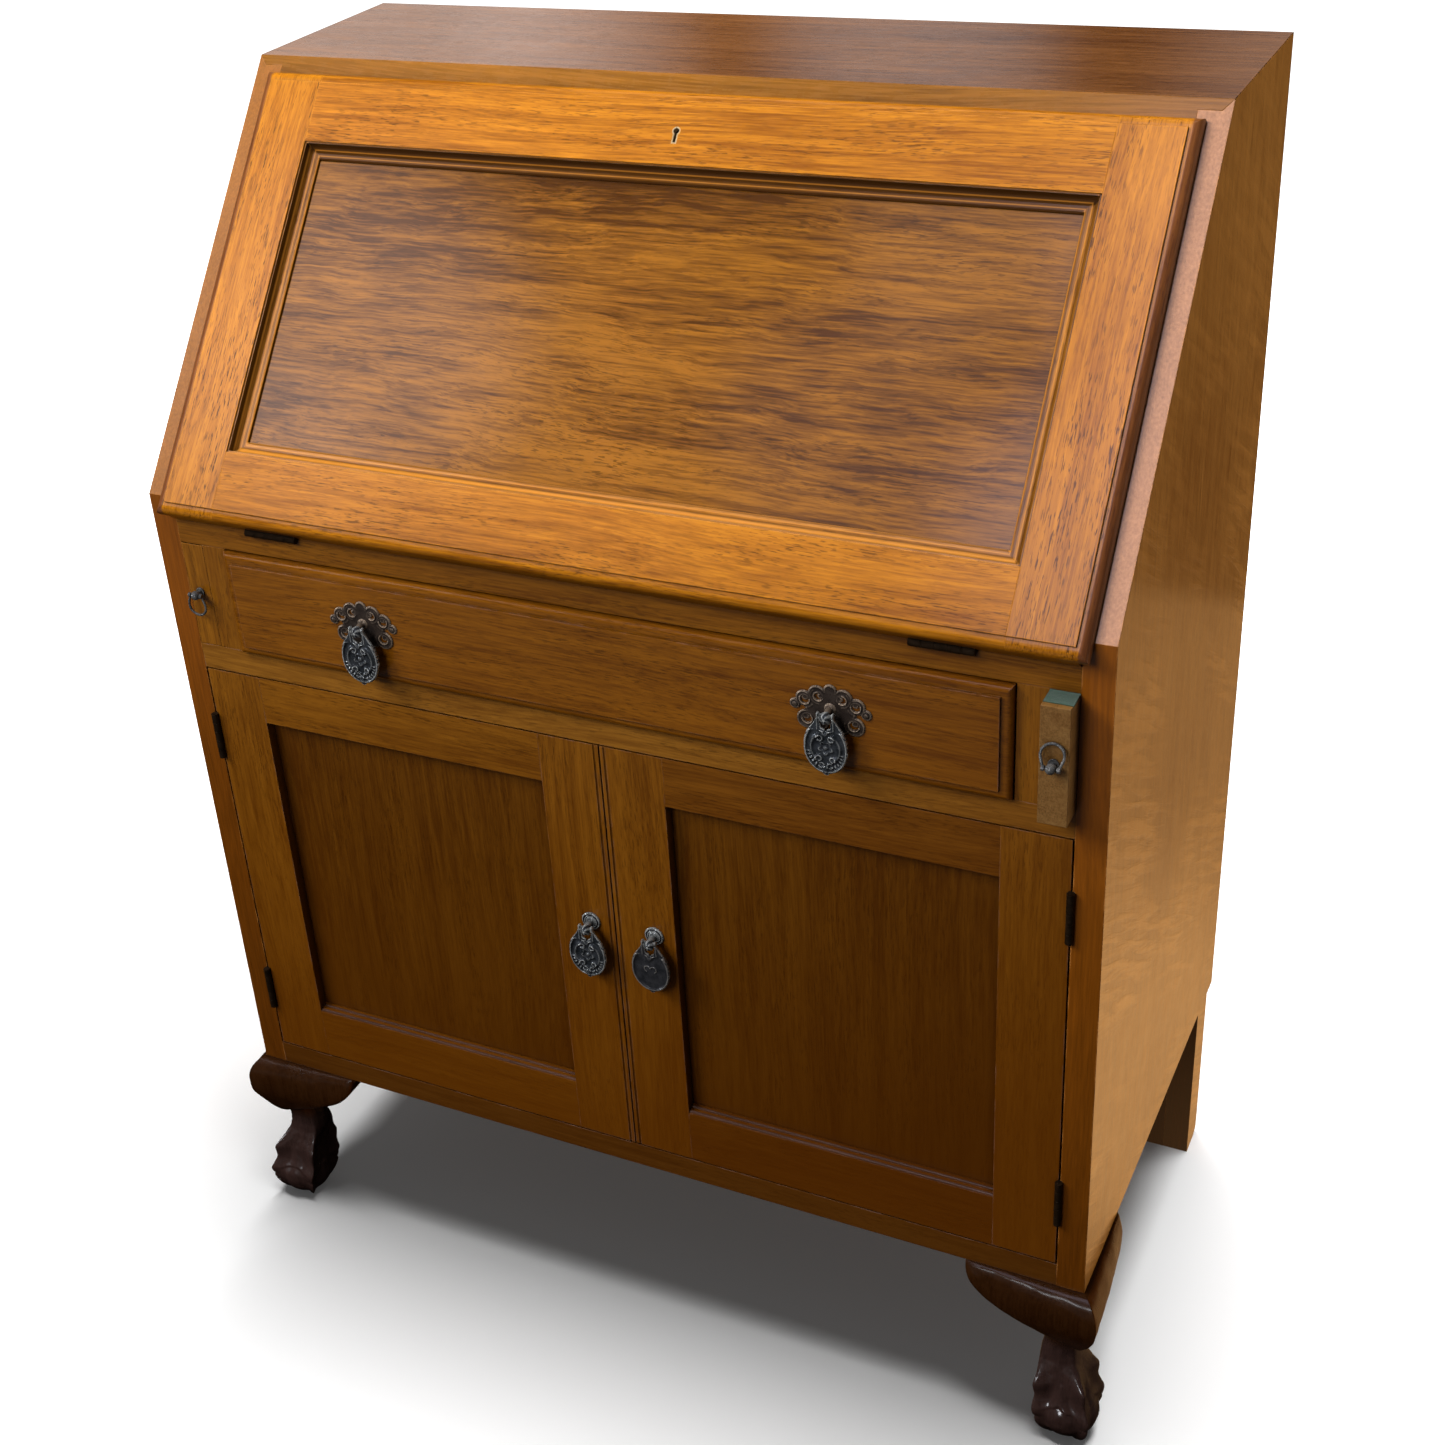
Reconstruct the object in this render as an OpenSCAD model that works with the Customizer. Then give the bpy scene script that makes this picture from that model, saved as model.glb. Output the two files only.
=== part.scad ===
/* [Case] */
// Width over the two side panels
case_w = 760; // [640:5:920]
// Depth from the front edges of the sides to the back edge
case_d = 410; // [370:5:480]
// Thickness of the side panels
side_t = 22; // [16:1:28]
// Thickness of the top board
top_t = 18; // [15:1:24]
// Depth of the flat top, from the slope to the back edge
top_depth = 180; // [150:5:220]
// Thickness of the top board where it laps over the sides
top_lap = 6.5; // [4:0.5:9]
// Thickness of the back panel
back_t = 8; // [5:1:12]
// How far the back panel sits inside the back edges
back_inset = 2; // [0:1:6]

/* [Heights, from the floor upwards] */
// Height of the feet under the case
leg_h = 162; // [140:1:190]
// Height of the rail under the doors
bottom_rail_h = 22; // [16:1:30]
// Height of the door opening
door_open_h = 390; // [320:5:460]
// Height of the rail between the doors and the drawer
drawer_rail_h = 22; // [16:1:30]
// Height of the drawer opening
drawer_open_h = 90; // [75:1:120]
// Thickness of the writing deck
deck_t = 20; // [18:1:24]
// Height of the slope's lower corner above the deck
slope_lip = 18; // [17:0.5:22]
// Height of the slope, from its lower corner to the top
slope_rise = 279; // [250:1:310]

/* [Fall] */
// How far the fall's moulded edges stand in from the case's outer faces
fall_edge_in = 15; // [8:0.5:18]
// Thickness of the fall outside the slope's plane
fall_proud = 10; // [9:0.5:12]
// Length of the fall below the slope's lower corner
fall_drop = 14.5; // [13:0.5:16]
// Width of the top board's edge that shows above the fall
fall_top_show = 16; // [12:0.5:18]
// Width of the fall's stiles and bottom rail
fall_frame_w = 54; // [46:1:64]
// Width of the fall's top rail
fall_top_rail_w = 56.5; // [52:0.5:66]
// Width of the moulding round the fall's panel
moulding_w = 11.5; // [9:0.5:14]
// Height of that moulding above the panel
moulding_h = 9; // [7:0.5:10]
// Gap between the fall's inner edges and the case
fall_gap = 0.5; // [0.3:0.1:1]

/* [Doors] */
// Thickness of the doors
door_t = 20; // [18:1:24]
// Width of the door stiles on the hinge side
door_stile_w = 50; // [44:1:58]
// Width of the door stiles where the doors meet
meeting_stile_w = 52; // [44:1:58]
// Width of the door's top rail
door_top_rail_w = 42; // [36:1:54]
// Width of the door's bottom rail
door_bottom_rail_w = 46; // [40:1:60]
// Thickness of the door panels
door_panel_t = 6; // [5:0.5:8]
// Depth of the door panels behind the door's face
door_recess = 9; // [7:0.5:10]
// Gap between a door and the case at its hinges
door_gap = 1.3; // [1.2:0.1:2]
// Gap above and below the doors, and half the gap between them
door_ease = 1.2; // [1:0.1:1.6]
// Distance of the left door's pull from the meeting line
pull_x_left = 21; // [16:1:36]
// Distance of the right door's pull from the meeting line
pull_x_right = 34; // [16:1:36]
// Height of the door pulls' pivots above the door opening's lower edge
door_pull_z = 224; // [150:1:300]

/* [Drawer and lopers] */
// Width of the upright boards between the drawer and the lopers
divider_w = 21.5; // [18:0.5:26]
// Width of the loper slots
loper_slot_w = 20.5; // [16:0.5:26]
// Clearance round the lopers
loper_gap = 0.25; // [0.2:0.05:0.5]
// Length of the lopers
loper_len = 300; // [270:5:340]
// Travel of the lopers
loper_travel = 260; // [220:5:265]
// How far the right loper is left pulled out
loper_rest_out = 21; // [5:1:60]
// Length of the baize on a loper's end
baize_len = 60; // [40:5:100]
// Clearance round the drawer
drawer_gap = 0.8; // [0.5:0.1:1.5]
// Thickness of the drawer front behind its moulded face
drawer_front_t = 18; // [16:1:22]
// Height of the drawer front's raised field above the case front
drawer_proud = 8; // [6:0.5:10]
// Thickness of the drawer sides and back
drawer_side_t = 10; // [8:1:12]
// Thickness of the drawer bottom
drawer_bottom_t = 6; // [4:0.5:8]
// Distance of the drawer pulls from the middle
drawer_pull_x = 189; // [140:1:230]
// Height of the drawer pulls' pivots above the drawer opening's lower edge
drawer_pull_z = 50.5; // [44:0.5:60]

/* [Interior] */
// Thickness of the pigeonhole boards
pigeon_t = 8; // [6:0.5:12]
// Depth of the pigeonholes
pigeon_depth = 160; // [120:5:165]
// Number of pigeonholes
pigeon_count = 6; // [4:1:8]
// Height of the open space under the pigeonholes
pigeon_under = 118; // [90:1:140]
// Thickness of the cupboard shelf
shelf_t = 16; // [12:1:20]
// Height of the shelf's underside above the cupboard floor
shelf_z = 188; // [140:1:230]
// Thickness of the cupboard floor
floor_t = 14; // [10:1:16]

/* [Feet] */
// Reach of the claw feet's knees beyond the case on each side
knee_out = 14; // [10:0.5:18]
// Length of the knee blocks from the case corner
ear_len = 94; // [80:1:110]
// Radius of the ball in the claw feet
ball_r = 24.6; // [23:0.2:26]
// Distance of the ball's centre inside both case faces
ball_inset = 11; // [8:1:14]
// Width of the rear feet, front to back
rear_foot_w = 33; // [28:1:60]
// How far the rear feet stand in from the back edge
rear_foot_inset = 18; // [10:1:24]

/* [Fittings] */
// Radius of the fall hinges' knuckles
fall_knuckle_r = 3; // [2.6:0.1:3.4]
// Length of the fall hinges
fall_hinge_len = 46; // [38:1:60]
// Distance of the fall hinges from the fall's ends
fall_hinge_in = 99; // [80:1:150]
// Radius of the door hinges' knuckles
door_knuckle_r = 2.8; // [2.4:0.1:3]
// Length of the door hinges
door_hinge_len = 42; // [36:1:60]
// Distance of the door hinges from the ends of the door opening
door_hinge_in = 43; // [30:1:70]
// Radius of the ball heads that carry the drops
pull_ball_r = 4.2; // [3.8:0.1:4.6]
// Radius of the pins that the drops and rings hang on
pull_pin_r = 1.1; // [0.9:0.05:1.3]
// Half the width of a drop
drop_rx = 16; // [13:0.5:18]
// Half the height of a drop's oval
drop_ry = 19; // [16:0.5:21]
// Width of the drawer pulls' backplates
plate_w = 60; // [52:1:68]
// Thickness of the drops
drop_t = 2.4; // [2:0.1:3]
// Radius of the loper rings, to the middle of the wire
ring_r = 8; // [7:0.5:9]
// Radius of the ring wire
wire_r = 1; // [0.8:0.1:1.2]
// Travel of the lock bolt
bolt_travel = 9; // [7:0.5:10]

/* [Hidden] */
$fn = 48;

// Colours
amber = [0.71, 0.40, 0.12];
walnut = [0.43, 0.22, 0.09];
umber = [0.36, 0.19, 0.07];
honey = [0.60, 0.38, 0.18];
ebony = [0.14, 0.08, 0.05];
pale = [0.66, 0.50, 0.32];
bronze = [0.24, 0.22, 0.20];
brass = [0.62, 0.50, 0.26];
steel = [0.45, 0.45, 0.45];
green = [0.08, 0.24, 0.16];

// Case levels and planes, all measured from the front edges of the sides and the floor
half_w = case_w / 2;
inner_x = half_w - side_t;
door_z = leg_h + bottom_rail_h;
drawer_rail_z = door_z + door_open_h;
drawer_z = drawer_rail_z + drawer_rail_h;
deck_z = drawer_z + drawer_open_h;
deck_top = deck_z + deck_t;
slope_z = deck_top + slope_lip;
case_h = slope_z + slope_rise;
top_z = case_h - top_t;
slope_run = case_d - top_depth;
slope_len = sqrt(slope_run * slope_run + slope_rise * slope_rise);
lean = atan(slope_run / slope_rise);
back_y = case_d - back_inset - back_t;
bottom_rail_d = 45;
drawer_rail_d = 60;
shelf_front_y = 42;
cleat_t = 14;

// Fall, in its own plane: x across, s up the slope, and height off the slope's plane
fall_in = deck_t - fall_proud;
fall_s0 = -fall_drop;
fall_s1 = slope_len - fall_top_show;
fall_inner_s1 = (slope_rise - top_t) / cos(lean) - fall_gap * 2;
fall_half = half_w - fall_edge_in;
fall_hinge_x = fall_half - fall_hinge_in;
fall_inner_half = inner_x - fall_gap;
frame_x = fall_half - fall_frame_w;
frame_s0 = fall_s0 + fall_frame_w;
frame_s1 = fall_s1 - fall_top_rail_w;
fall_seat = 0.12;
lip_flat = 2.5;
lip_r = 6;
lip_margin = 8.5;
tenon_t = 6;
tenon_len = 28;
tenon_in = 10;
groove_t = 5;
groove_d = 7;

// The fall turns about this axis, which brings it level with the deck when it is open
pivot_y = -fall_knuckle_r;
pivot_z = (deck_z + fall_proud + slope_z * sin(lean) + cos(lean) * pivot_y) / (1 + sin(lean));
fall_open_angle = 90 + lean;
pivot_s = pivot_y * sin(lean) + (pivot_z - slope_z) * cos(lean);
pivot_off = -pivot_y * cos(lean) + (pivot_z - slope_z) * sin(lean);

// Hinges
fit = 0.05;
leaf_space = 0.3;
fall_pin_r = 1.5;
fall_leaf_t = 1.8;
fall_leaf_w = 22;
door_pin_r = 1.2;
door_leaf_t = 1.1;
door_leaf_w = 17;
door_axis_x = inner_x - door_gap / 2;
door_axis_y = -2.2;
door_hinge_zs = [door_z + door_hinge_in, drawer_rail_z - door_hinge_in - door_hinge_len];
knuckles = 5;

// Drawer and lopers
divider_x1 = inner_x - loper_slot_w;
divider_x0 = divider_x1 - divider_w;
loper_x = divider_x1 + loper_slot_w / 2;
loper_w = loper_slot_w - 2 * loper_gap;
loper_top_gap = 0.7;
loper_h = drawer_open_h - loper_gap - loper_top_gap;
loper_mid_z = drawer_z + drawer_open_h / 2;
baize_t = 1.4;
baize_let_in = 1;
baize_back = 5;
peg_r = 4;
peg_len = 8;
peg_back = 20;
peg_gap = 0.3;
drawer_x = divider_x0 - drawer_gap;
drawer_len = back_y - 15;
drawer_floor_up = 7;
drawer_groove = 5;
drawer_low = 5;
drawer_back_low = 9;
dovetail_len = 10;
front_flat = 1.5;
front_r = 4.5;

// Pulls
pull_head = 8.5;
plate_t = 1.5;
rosette_r = 8;
rosette_t = 2.4;
ear_r = 2.3;
ear_t = 1.6;
ear_in = 0.4;
drop_mid = 26.5;
drop_z = drawer_z + drawer_pull_z;
drawer_pull_y = -drawer_proud - plate_t - pull_head;
door_pull_y = -rosette_t - pull_head + 1;
knob_head = 7;
knob_ball_r = 3.8;
knob_pin_r = 0.9;
knob_z = drawer_z + 47.5;
ring_mid = 9;
ring_lean = asin((knob_head - wire_r - 0.6) / (ring_mid + ring_r));

// Feet
ankle_z = leg_h * 0.42;
ankle_q = -11;
knee_z = leg_h - 25;
knee_t = 26;
ear_low = leg_h * 0.575;
ear_slope = 0.5;
ear_end_r = 30;
ear_end_rise = 15;
foot_h = 66;
ball_sunk = 0.6;
web_low = 30;
web_rise = 5;
leg_sides = 48;
ear_bulge = 0.45;
foot_front_y = case_d - rear_foot_inset - rear_foot_w;
foot_back_y = case_d - rear_foot_inset;
rear_block_t = 22;
foot_round = 10;

// The whole desk is moved so that the frame's origin is under the middle of its box
front_reach = max(loper_rest_out + knob_head + knob_ball_r, fall_drop + fall_proud);
frame_y = (front_reach - case_d) / 2;

// Frames that the pieces are drawn in
module in_case() {
    translate([0, frame_y, 0]) children();
}

module on_slope() {
    in_case() translate([0, 0, slope_z]) rotate([90 - lean, 0, 0]) children();
}

module both_sides() {
    children();
    mirror([1, 0, 0]) children();
}

module box(lo, hi) {
    translate(lo) cube(hi - lo);
}

// A closed skin through rings of points that all have the same number of points
module skin(rings) {
    n = len(rings[0]);
    m = len(rings);
    points = [for (ring = rings) for (p = ring) p];
    sides = [for (i = [0:m - 2]) for (j = [0:n - 1])
        each [
            [i * n + j, (i + 1) * n + (j + 1) % n, i * n + (j + 1) % n],
            [i * n + j, (i + 1) * n + j, (i + 1) * n + (j + 1) % n]
        ]];
    caps = [[for (j = [0:n - 1]) j], [for (j = [n - 1:-1:0]) (m - 1) * n + j]];
    polyhedron(points, concat(caps, sides), convexity = 8);
}

// ---- Case ----

module side_outline() {
    difference() {
        polygon([
            [0, leg_h], [0, slope_z], [slope_run, case_h], [case_d, case_h], [case_d, leg_h],
            [foot_back_y, leg_h], [foot_back_y, 0], [foot_front_y, 0], [foot_front_y, leg_h]
        ]);
        foot_corner();
    }
}

// What the rounding takes off the lower back corner of a rear foot
module foot_corner() {
    translate([foot_back_y - foot_round, 0]) difference() {
        translate([0, -1]) square(foot_round + 1);
        translate([0, foot_round]) circle(foot_round);
    }
}

// An outline in the plane of a side, given a thickness across the case
module across(x0, x1) {
    translate([x0, 0, 0]) rotate([90, 0, 90]) linear_extrude(x1 - x0) children();
}

module door_hinge_relief() {
    for (z = door_hinge_zs)
        translate([door_axis_x, door_axis_y, z - leaf_space])
            cylinder(r = door_knuckle_r + leaf_space, h = door_hinge_len + 2 * leaf_space);
}

module side() {
    difference() {
        across(inner_x, half_w) side_outline();
        translate([0, case_d + 1, 0]) rotate([90, 0, 0]) linear_extrude(case_d + 2)
            polygon([
                [inner_x - 1, case_h - top_lap], [half_w - top_lap, case_h - top_lap],
                [half_w, case_h], [half_w, case_h + 1], [inner_x - 1, case_h + 1]
            ]);
        door_hinge_relief();
        for (z = door_hinge_zs)
            box([inner_x - 1, -1, z], [door_axis_x + fit + door_leaf_t, door_leaf_w + door_axis_y, z + door_hinge_len]);
    }
}

module side_right() {
    color(honey) in_case() side();
}

module side_left() {
    color(honey) in_case() mirror([1, 0, 0]) side();
}

module top() {
    color(walnut) difference() {
        in_case() intersection() {
            translate([0, case_d, 0]) rotate([90, 0, 0]) linear_extrude(case_d)
                polygon([
                    [-inner_x, top_z], [inner_x, top_z], [inner_x, case_h - top_lap],
                    [half_w - top_lap, case_h - top_lap], [half_w, case_h], [-half_w, case_h],
                    [-half_w + top_lap, case_h - top_lap], [-inner_x, case_h - top_lap]
                ]);
            across(-half_w, half_w)
                polygon([
                    [slope_run - top_t * tan(lean), top_z], [slope_run, case_h],
                    [case_d, case_h], [case_d, top_z]
                ]);
        }
        keeper_blank();
        bolt_way();
    }
}

module back_panel() {
    color(pale) in_case() box([-inner_x, back_y, leg_h], [inner_x, back_y + back_t, top_z]);
}

module writing_deck() {
    color(umber) in_case() difference() {
        box([-inner_x, 0, deck_z], [inner_x, back_y, deck_top]);
        both_sides() {
            box([fall_hinge_x - fall_hinge_len / 2, -1, deck_top - fall_leaf_t],
                [fall_hinge_x + fall_hinge_len / 2, pivot_y + fall_leaf_w, deck_top + 1]);
            translate([fall_hinge_x, pivot_y, pivot_z]) rotate([0, 90, 0])
                cylinder(r = fall_knuckle_r + leaf_space, h = fall_hinge_len + 2 * leaf_space, center = true);
        }
    }
}

module drawer_rail() {
    color(umber) in_case() box([-inner_x, 0, drawer_rail_z], [inner_x, drawer_rail_d, drawer_z]);
}

module bottom_rail() {
    color(umber) in_case() box([-inner_x, 0, leg_h], [inner_x, bottom_rail_d, door_z]);
}

module bottom_board() {
    color(pale) in_case() box([-inner_x, bottom_rail_d, door_z - floor_t], [inner_x, back_y, door_z]);
}

// The upright board beside the drawer, with the stopped groove for the loper's peg
module divider() {
    y1 = loper_len - peg_back + peg_r + peg_gap;
    y0 = loper_len - peg_back - loper_travel - peg_r - peg_gap;
    difference() {
        box([divider_x0, 0, drawer_z], [divider_x1, back_y, deck_z]);
        box([divider_x1 - peg_len - peg_gap, y0, loper_mid_z - peg_r - peg_gap],
            [divider_x1 + 1, y1, loper_mid_z + peg_r + peg_gap]);
    }
}

module divider_right() {
    color(umber) in_case() divider();
}

module divider_left() {
    color(umber) in_case() mirror([1, 0, 0]) divider();
}

module drawer_runners() {
    runner_x = divider_x0 - 2 * drawer_side_t;
    color(pale) in_case() both_sides()
        box([runner_x, drawer_rail_d, drawer_rail_z], [inner_x, back_y, drawer_z]);
}

module cupboard_shelf() {
    ease = 1;
    z = door_z + shelf_z;
    color(pale) in_case()
        box([-inner_x + ease, shelf_front_y, z], [inner_x - ease, back_y - ease, z + shelf_t]);
}

module shelf_cleats() {
    z = door_z + shelf_z;
    color(pale) in_case() both_sides()
        box([inner_x - cleat_t, shelf_front_y, z - cleat_t], [inner_x, back_y - cleat_t, z]);
}

module door_stop() {
    stop_h = 12;
    stop_t = 14;
    color(umber) in_case()
        box([-inner_x, door_t + 0.3, drawer_rail_z - stop_h], [inner_x, door_t + stop_t, drawer_rail_z]);
}

module pigeonhole_shelf() {
    z = deck_top + pigeon_under;
    color(walnut) in_case() box([-inner_x, back_y - pigeon_depth, z], [inner_x, back_y, z + pigeon_t]);
}

module pigeonhole_dividers() {
    bay = (2 * inner_x - (pigeon_count - 1) * pigeon_t) / pigeon_count;
    z = deck_top + pigeon_under + pigeon_t;
    color(walnut) in_case()
        for (i = [1:pigeon_count - 1])
            translate([-inner_x + i * (bay + pigeon_t) - pigeon_t, back_y - pigeon_depth, z])
                pigeonhole_divider(top_z - z);
}

// One upright, with its front edge swept back in a hollow curve
module pigeonhole_divider(h) {
    hollow_r = h * 0.62;
    difference() {
        cube([pigeon_t, pigeon_depth, h]);
        translate([-1, -hollow_r * 0.62, h / 2]) rotate([0, 90, 0]) cylinder(r = hollow_r, h = pigeon_t + 2, $fn = 96);
    }
}

// ---- Feet ----

// Reach of the knee beyond the case faces at one height
function knee_reach(z) = z > knee_z
    ? knee_out * sqrt(max(0, 1 - pow((z - knee_z) / (leg_h - knee_z), 2)))
    : knee_out - (knee_out - ankle_q) * (1 - cos(180 * (knee_z - z) / (knee_z - ankle_z))) / 2;

// Height of a knee block's lower edge at a distance from the case corner
function ear_edge(t) = ear_low + ear_slope * t
    + ear_end_rise * (1 - sqrt(1 - pow(max(0, t - ear_len + ear_end_r) / ear_end_r, 2)));

// One upright slice of the knee: reach beyond the case, and height
function knee_slice(t, steps = 9) = let (low = ear_edge(t), k = 1 - (1 - ear_bulge) * t / ear_len)
    concat([[-knee_t, leg_h]],
        [for (i = [0:steps]) let (z = leg_h - (leg_h - low) * pow(i / steps, 1.5)) [k * knee_reach(z), z]],
        [[-knee_t, low]]);

// The same slice set in place: at the corner it is mitred, and away from it it faces one case face
function corner_ring() = [for (p = knee_slice(0)) [half_w + p[0], -p[0], p[1]]];
function front_ring(t) = [for (p = knee_slice(t)) [half_w - t, -p[0], p[1]]];
function side_ring(t) = [for (p = knee_slice(t)) [half_w + p[0], t, p[1]]];

// Level slices of the shank under the knee: share of the height from the foot to the case,
// inset of the middle, half width, squareness
shank_slices = [
    [0.5, 12.6, 13.6, 4], [0.45, 13, 13.4, 4], [0.4, 14.4, 12.3, 3.5], [0.345, 17, 13.6, 3],
    [0.29, 18.4, 14, 2.6], [0.23, 19.6, 14.6, 2.3], [0.16, 20.2, 15.2, 2.15], [0.085, 20, 16.4, 2.05]
];

// Level slices of the foot: height, inset of the middle, web, reach of the toes, half width of a toe
foot_slices = [
    [70, 18.8, 16.6, 20.5, 6], [65.5, 17.3, 16.6, 22.8, 5.8], [61, 15.8, 16.8, 25.4, 5.4],
    [56, 14.6, 17.4, 27.8, 5], [51, 14.2, 18.2, 29.2, 4.6], [46, 14, 19.2, 29.6, 4.2],
    [41, 13.6, 20.6, 29.6, 4.2], [37, 12.8, 22, 30.4, 4.4], [33, 11.8, 23.4, 31.4, 4.6],
    [29, 11, 24.2, 31.8, 4.4], [24.5, 11, 24.6, 31.6, 4], [19.5, 11, 24, 30.4, 3.6],
    [14.5, 11, 22, 28.4, 3.3], [9.5, 11, 20, 25.6, 3], [5.5, 11, 16, 22.4, 2.7],
    [2.2, 11, 10, 18.8, 2.4], [0, 11, 5, 15, 2.1]
];

// Reach of the ball at a height and, above its scalloped edge, of the web that grips it
function ball_reach(z) = sqrt(max(1, pow(ball_r, 2) - pow(z - ball_r + ball_sunk, 2)));
function web_edge(a) = web_low + web_rise * pow(cos(2 * a), 2);
function grip_reach(a, z, web) = z > web_edge(a) ? max(web, ball_reach(z)) : ball_reach(z);

function shank_reach(a, s) = s[2] / pow(pow(abs(cos(a)), s[3]) + pow(abs(sin(a)), s[3]), 1 / s[3]);
function foot_reach(a, s) = let (web = grip_reach(a, s[0], s[2]), off = abs((a + 360) % 90 - 45))
    web + max(0, s[3] - web) * exp(-pow(web * sin(off) / s[4], 2));

function level_ring(reach, inset, z) = [for (i = [0:len(reach) - 1])
    let (a = -360 * i / len(reach)) [half_w - inset + reach[i] * cos(a), inset + reach[i] * sin(a), z]];

module shank_and_foot() {
    turns = [for (i = [0:leg_sides - 1]) -360 * i / leg_sides];
    skin(concat(
        [for (s = shank_slices) level_ring([for (a = turns) shank_reach(a, s)], s[1],
            foot_h + (leg_h - foot_h) * s[0])],
        [for (s = foot_slices) level_ring([for (a = turns) foot_reach(a, s)], s[1], s[0])]
    ));
}

module leg() {
    skin([front_ring(knee_t + 1), corner_ring(), side_ring(knee_t + 1)]);
    shank_and_foot();
}

module leg_right() {
    color(ebony) in_case() leg();
}

module leg_left() {
    color(ebony) in_case() mirror([1, 0, 0]) leg();
}

module knee_blocks() {
    steps = 6;
    span = ear_len - knee_t - 1;
    color(ebony) in_case() both_sides() {
        skin([for (i = [0:steps]) front_ring(ear_len - span * i / steps)]);
        skin([for (i = [0:steps]) side_ring(knee_t + 1 + span * i / steps)]);
    }
}

module rear_feet() {
    color(umber) in_case() both_sides()
        across(inner_x - rear_block_t, inner_x) difference() {
            translate([foot_front_y, 0]) square([rear_foot_w, door_z - floor_t]);
            foot_corner();
        }
}

// ---- Hinges ----

// One half of a butt hinge on the X axis: leaf along +Y, and every second knuckle
module hinge_half(len, knuckle_r, pin_r, leaf_w, leaf_t, leaf_lo, first) {
    pitch = len / knuckles;
    difference() {
        union() {
            box([-len / 2, knuckle_r + leaf_space, leaf_lo], [len / 2, leaf_w, leaf_lo + leaf_t]);
            for (i = [first:2:knuckles - 1])
                translate([-len / 2 + i * pitch + leaf_space / 2, 0, 0]) {
                    rotate([0, 90, 0]) cylinder(r = knuckle_r, h = pitch - leaf_space);
                    box([0, 0, leaf_lo], [pitch - leaf_space, knuckle_r + 2 * leaf_space, leaf_lo + leaf_t]);
                }
        }
        rotate([0, 90, 0]) cylinder(r = pin_r + fit, h = len + 2, center = true);
    }
}

module at_fall_hinges() {
    both_sides() translate([fall_hinge_x, pivot_y, pivot_z]) children();
}

// Door hinges stand upright, with their leaves running back from the front
module at_door_hinges() {
    for (z = door_hinge_zs)
        translate([door_axis_x, door_axis_y, z + door_hinge_len / 2]) rotate([0, -90, 0]) children();
}

module hinge_plates() {
    color(brass) in_case() {
        at_fall_hinges()
            hinge_half(fall_hinge_len, fall_knuckle_r, fall_pin_r, fall_leaf_w, fall_leaf_t,
                deck_top - pivot_z - fall_leaf_t, 0);
        both_sides() at_door_hinges()
            hinge_half(door_hinge_len, door_knuckle_r, door_pin_r, door_leaf_w, door_leaf_t,
                -fit - door_leaf_t, 0);
    }
}

module hinge_pins() {
    color(brass) in_case() {
        at_fall_hinges() rotate([0, 90, 0]) cylinder(r = fall_pin_r, h = fall_hinge_len, center = true);
        both_sides() at_door_hinges() rotate([0, 90, 0])
            cylinder(r = door_pin_r, h = door_hinge_len, center = true);
    }
}

module fall_hinge_leaves() {
    color(brass) in_case() at_fall_hinges() rotate([90 - lean, 0, 0])
        hinge_half(fall_hinge_len, fall_knuckle_r, fall_pin_r, fall_leaf_w, fall_leaf_t,
            -fall_in - pivot_off, 1);
}

// ---- Fall ----

// Cross-section with a rebated back and a thumb-moulded lip at both ends
module lip_section(lo, hi, in_lo, in_hi, back, seat, flat, r, margin, proud) {
    translate([in_lo, -back]) square([in_hi - in_lo, back + flat]);
    translate([lo, seat]) square([hi - lo, flat - seat]);
    translate([lo + r, seat]) square([hi - lo - 2 * r, flat + r - seat]);
    intersection() {
        union() {
            translate([lo + r, flat]) circle(r);
            translate([hi - r, flat]) circle(r);
        }
        translate([lo, seat]) square([hi - lo, flat + r - seat]);
    }
    translate([lo + margin, seat]) square([hi - lo - 2 * margin, proud - seat]);
}

// The whole fall as one moulded board, in the slope's plane
module fall_blank() {
    intersection() {
        translate([0, fall_s1, 0]) rotate([90, 0, 0]) linear_extrude(fall_s1 - fall_s0)
            lip_section(-fall_half, fall_half, -fall_inner_half, fall_inner_half,
                fall_in, fall_seat, lip_flat, lip_r, lip_margin, fall_proud);
        across(-fall_half, fall_half)
            lip_section(fall_s0, fall_s1, fall_s0, fall_inner_s1,
                fall_in, fall_seat, lip_flat, lip_r, lip_margin, fall_proud);
    }
}

// Space taken by the panel and its tongue
module fall_panel_blank() {
    box([-frame_x, frame_s0, -fall_in], [frame_x, frame_s1, 0]);
    box([-frame_x - groove_d, frame_s0 - groove_d, -fall_in + groove_t / 2],
        [frame_x + groove_d, frame_s1 + groove_d, -fall_in + groove_t * 1.5]);
}

module fall_tenons() {
    for (s = [[fall_s0 + tenon_in, frame_s0 - tenon_in], [frame_s1 + tenon_in, fall_inner_s1 - tenon_in * 2]])
        both_sides()
            box([frame_x - 1, s[0], -tenon_t / 2], [frame_x + tenon_len, s[1], tenon_t / 2]);
}

module fall_hinge_gains() {
    for (side = [-1, 1]) {
        x0 = side * fall_hinge_x - fall_hinge_len / 2;
        box([x0, pivot_s - 1, -fall_in - 1], [x0 + fall_hinge_len, pivot_s + fall_leaf_w, -fall_in + fall_leaf_t]);
        translate([x0 - leaf_space, pivot_s, pivot_off]) rotate([0, 90, 0])
            cylinder(r = fall_knuckle_r + leaf_space, h = fall_hinge_len + 2 * leaf_space);
    }
}

module fall_stiles() {
    color(amber) on_slope() difference() {
        intersection() {
            fall_blank();
            both_sides() box([frame_x, fall_s0 - 1, -fall_in - 1], [fall_half + 1, fall_s1 + 1, fall_proud + 1]);
        }
        fall_tenons();
        fall_panel_blank();
    }
}

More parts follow.
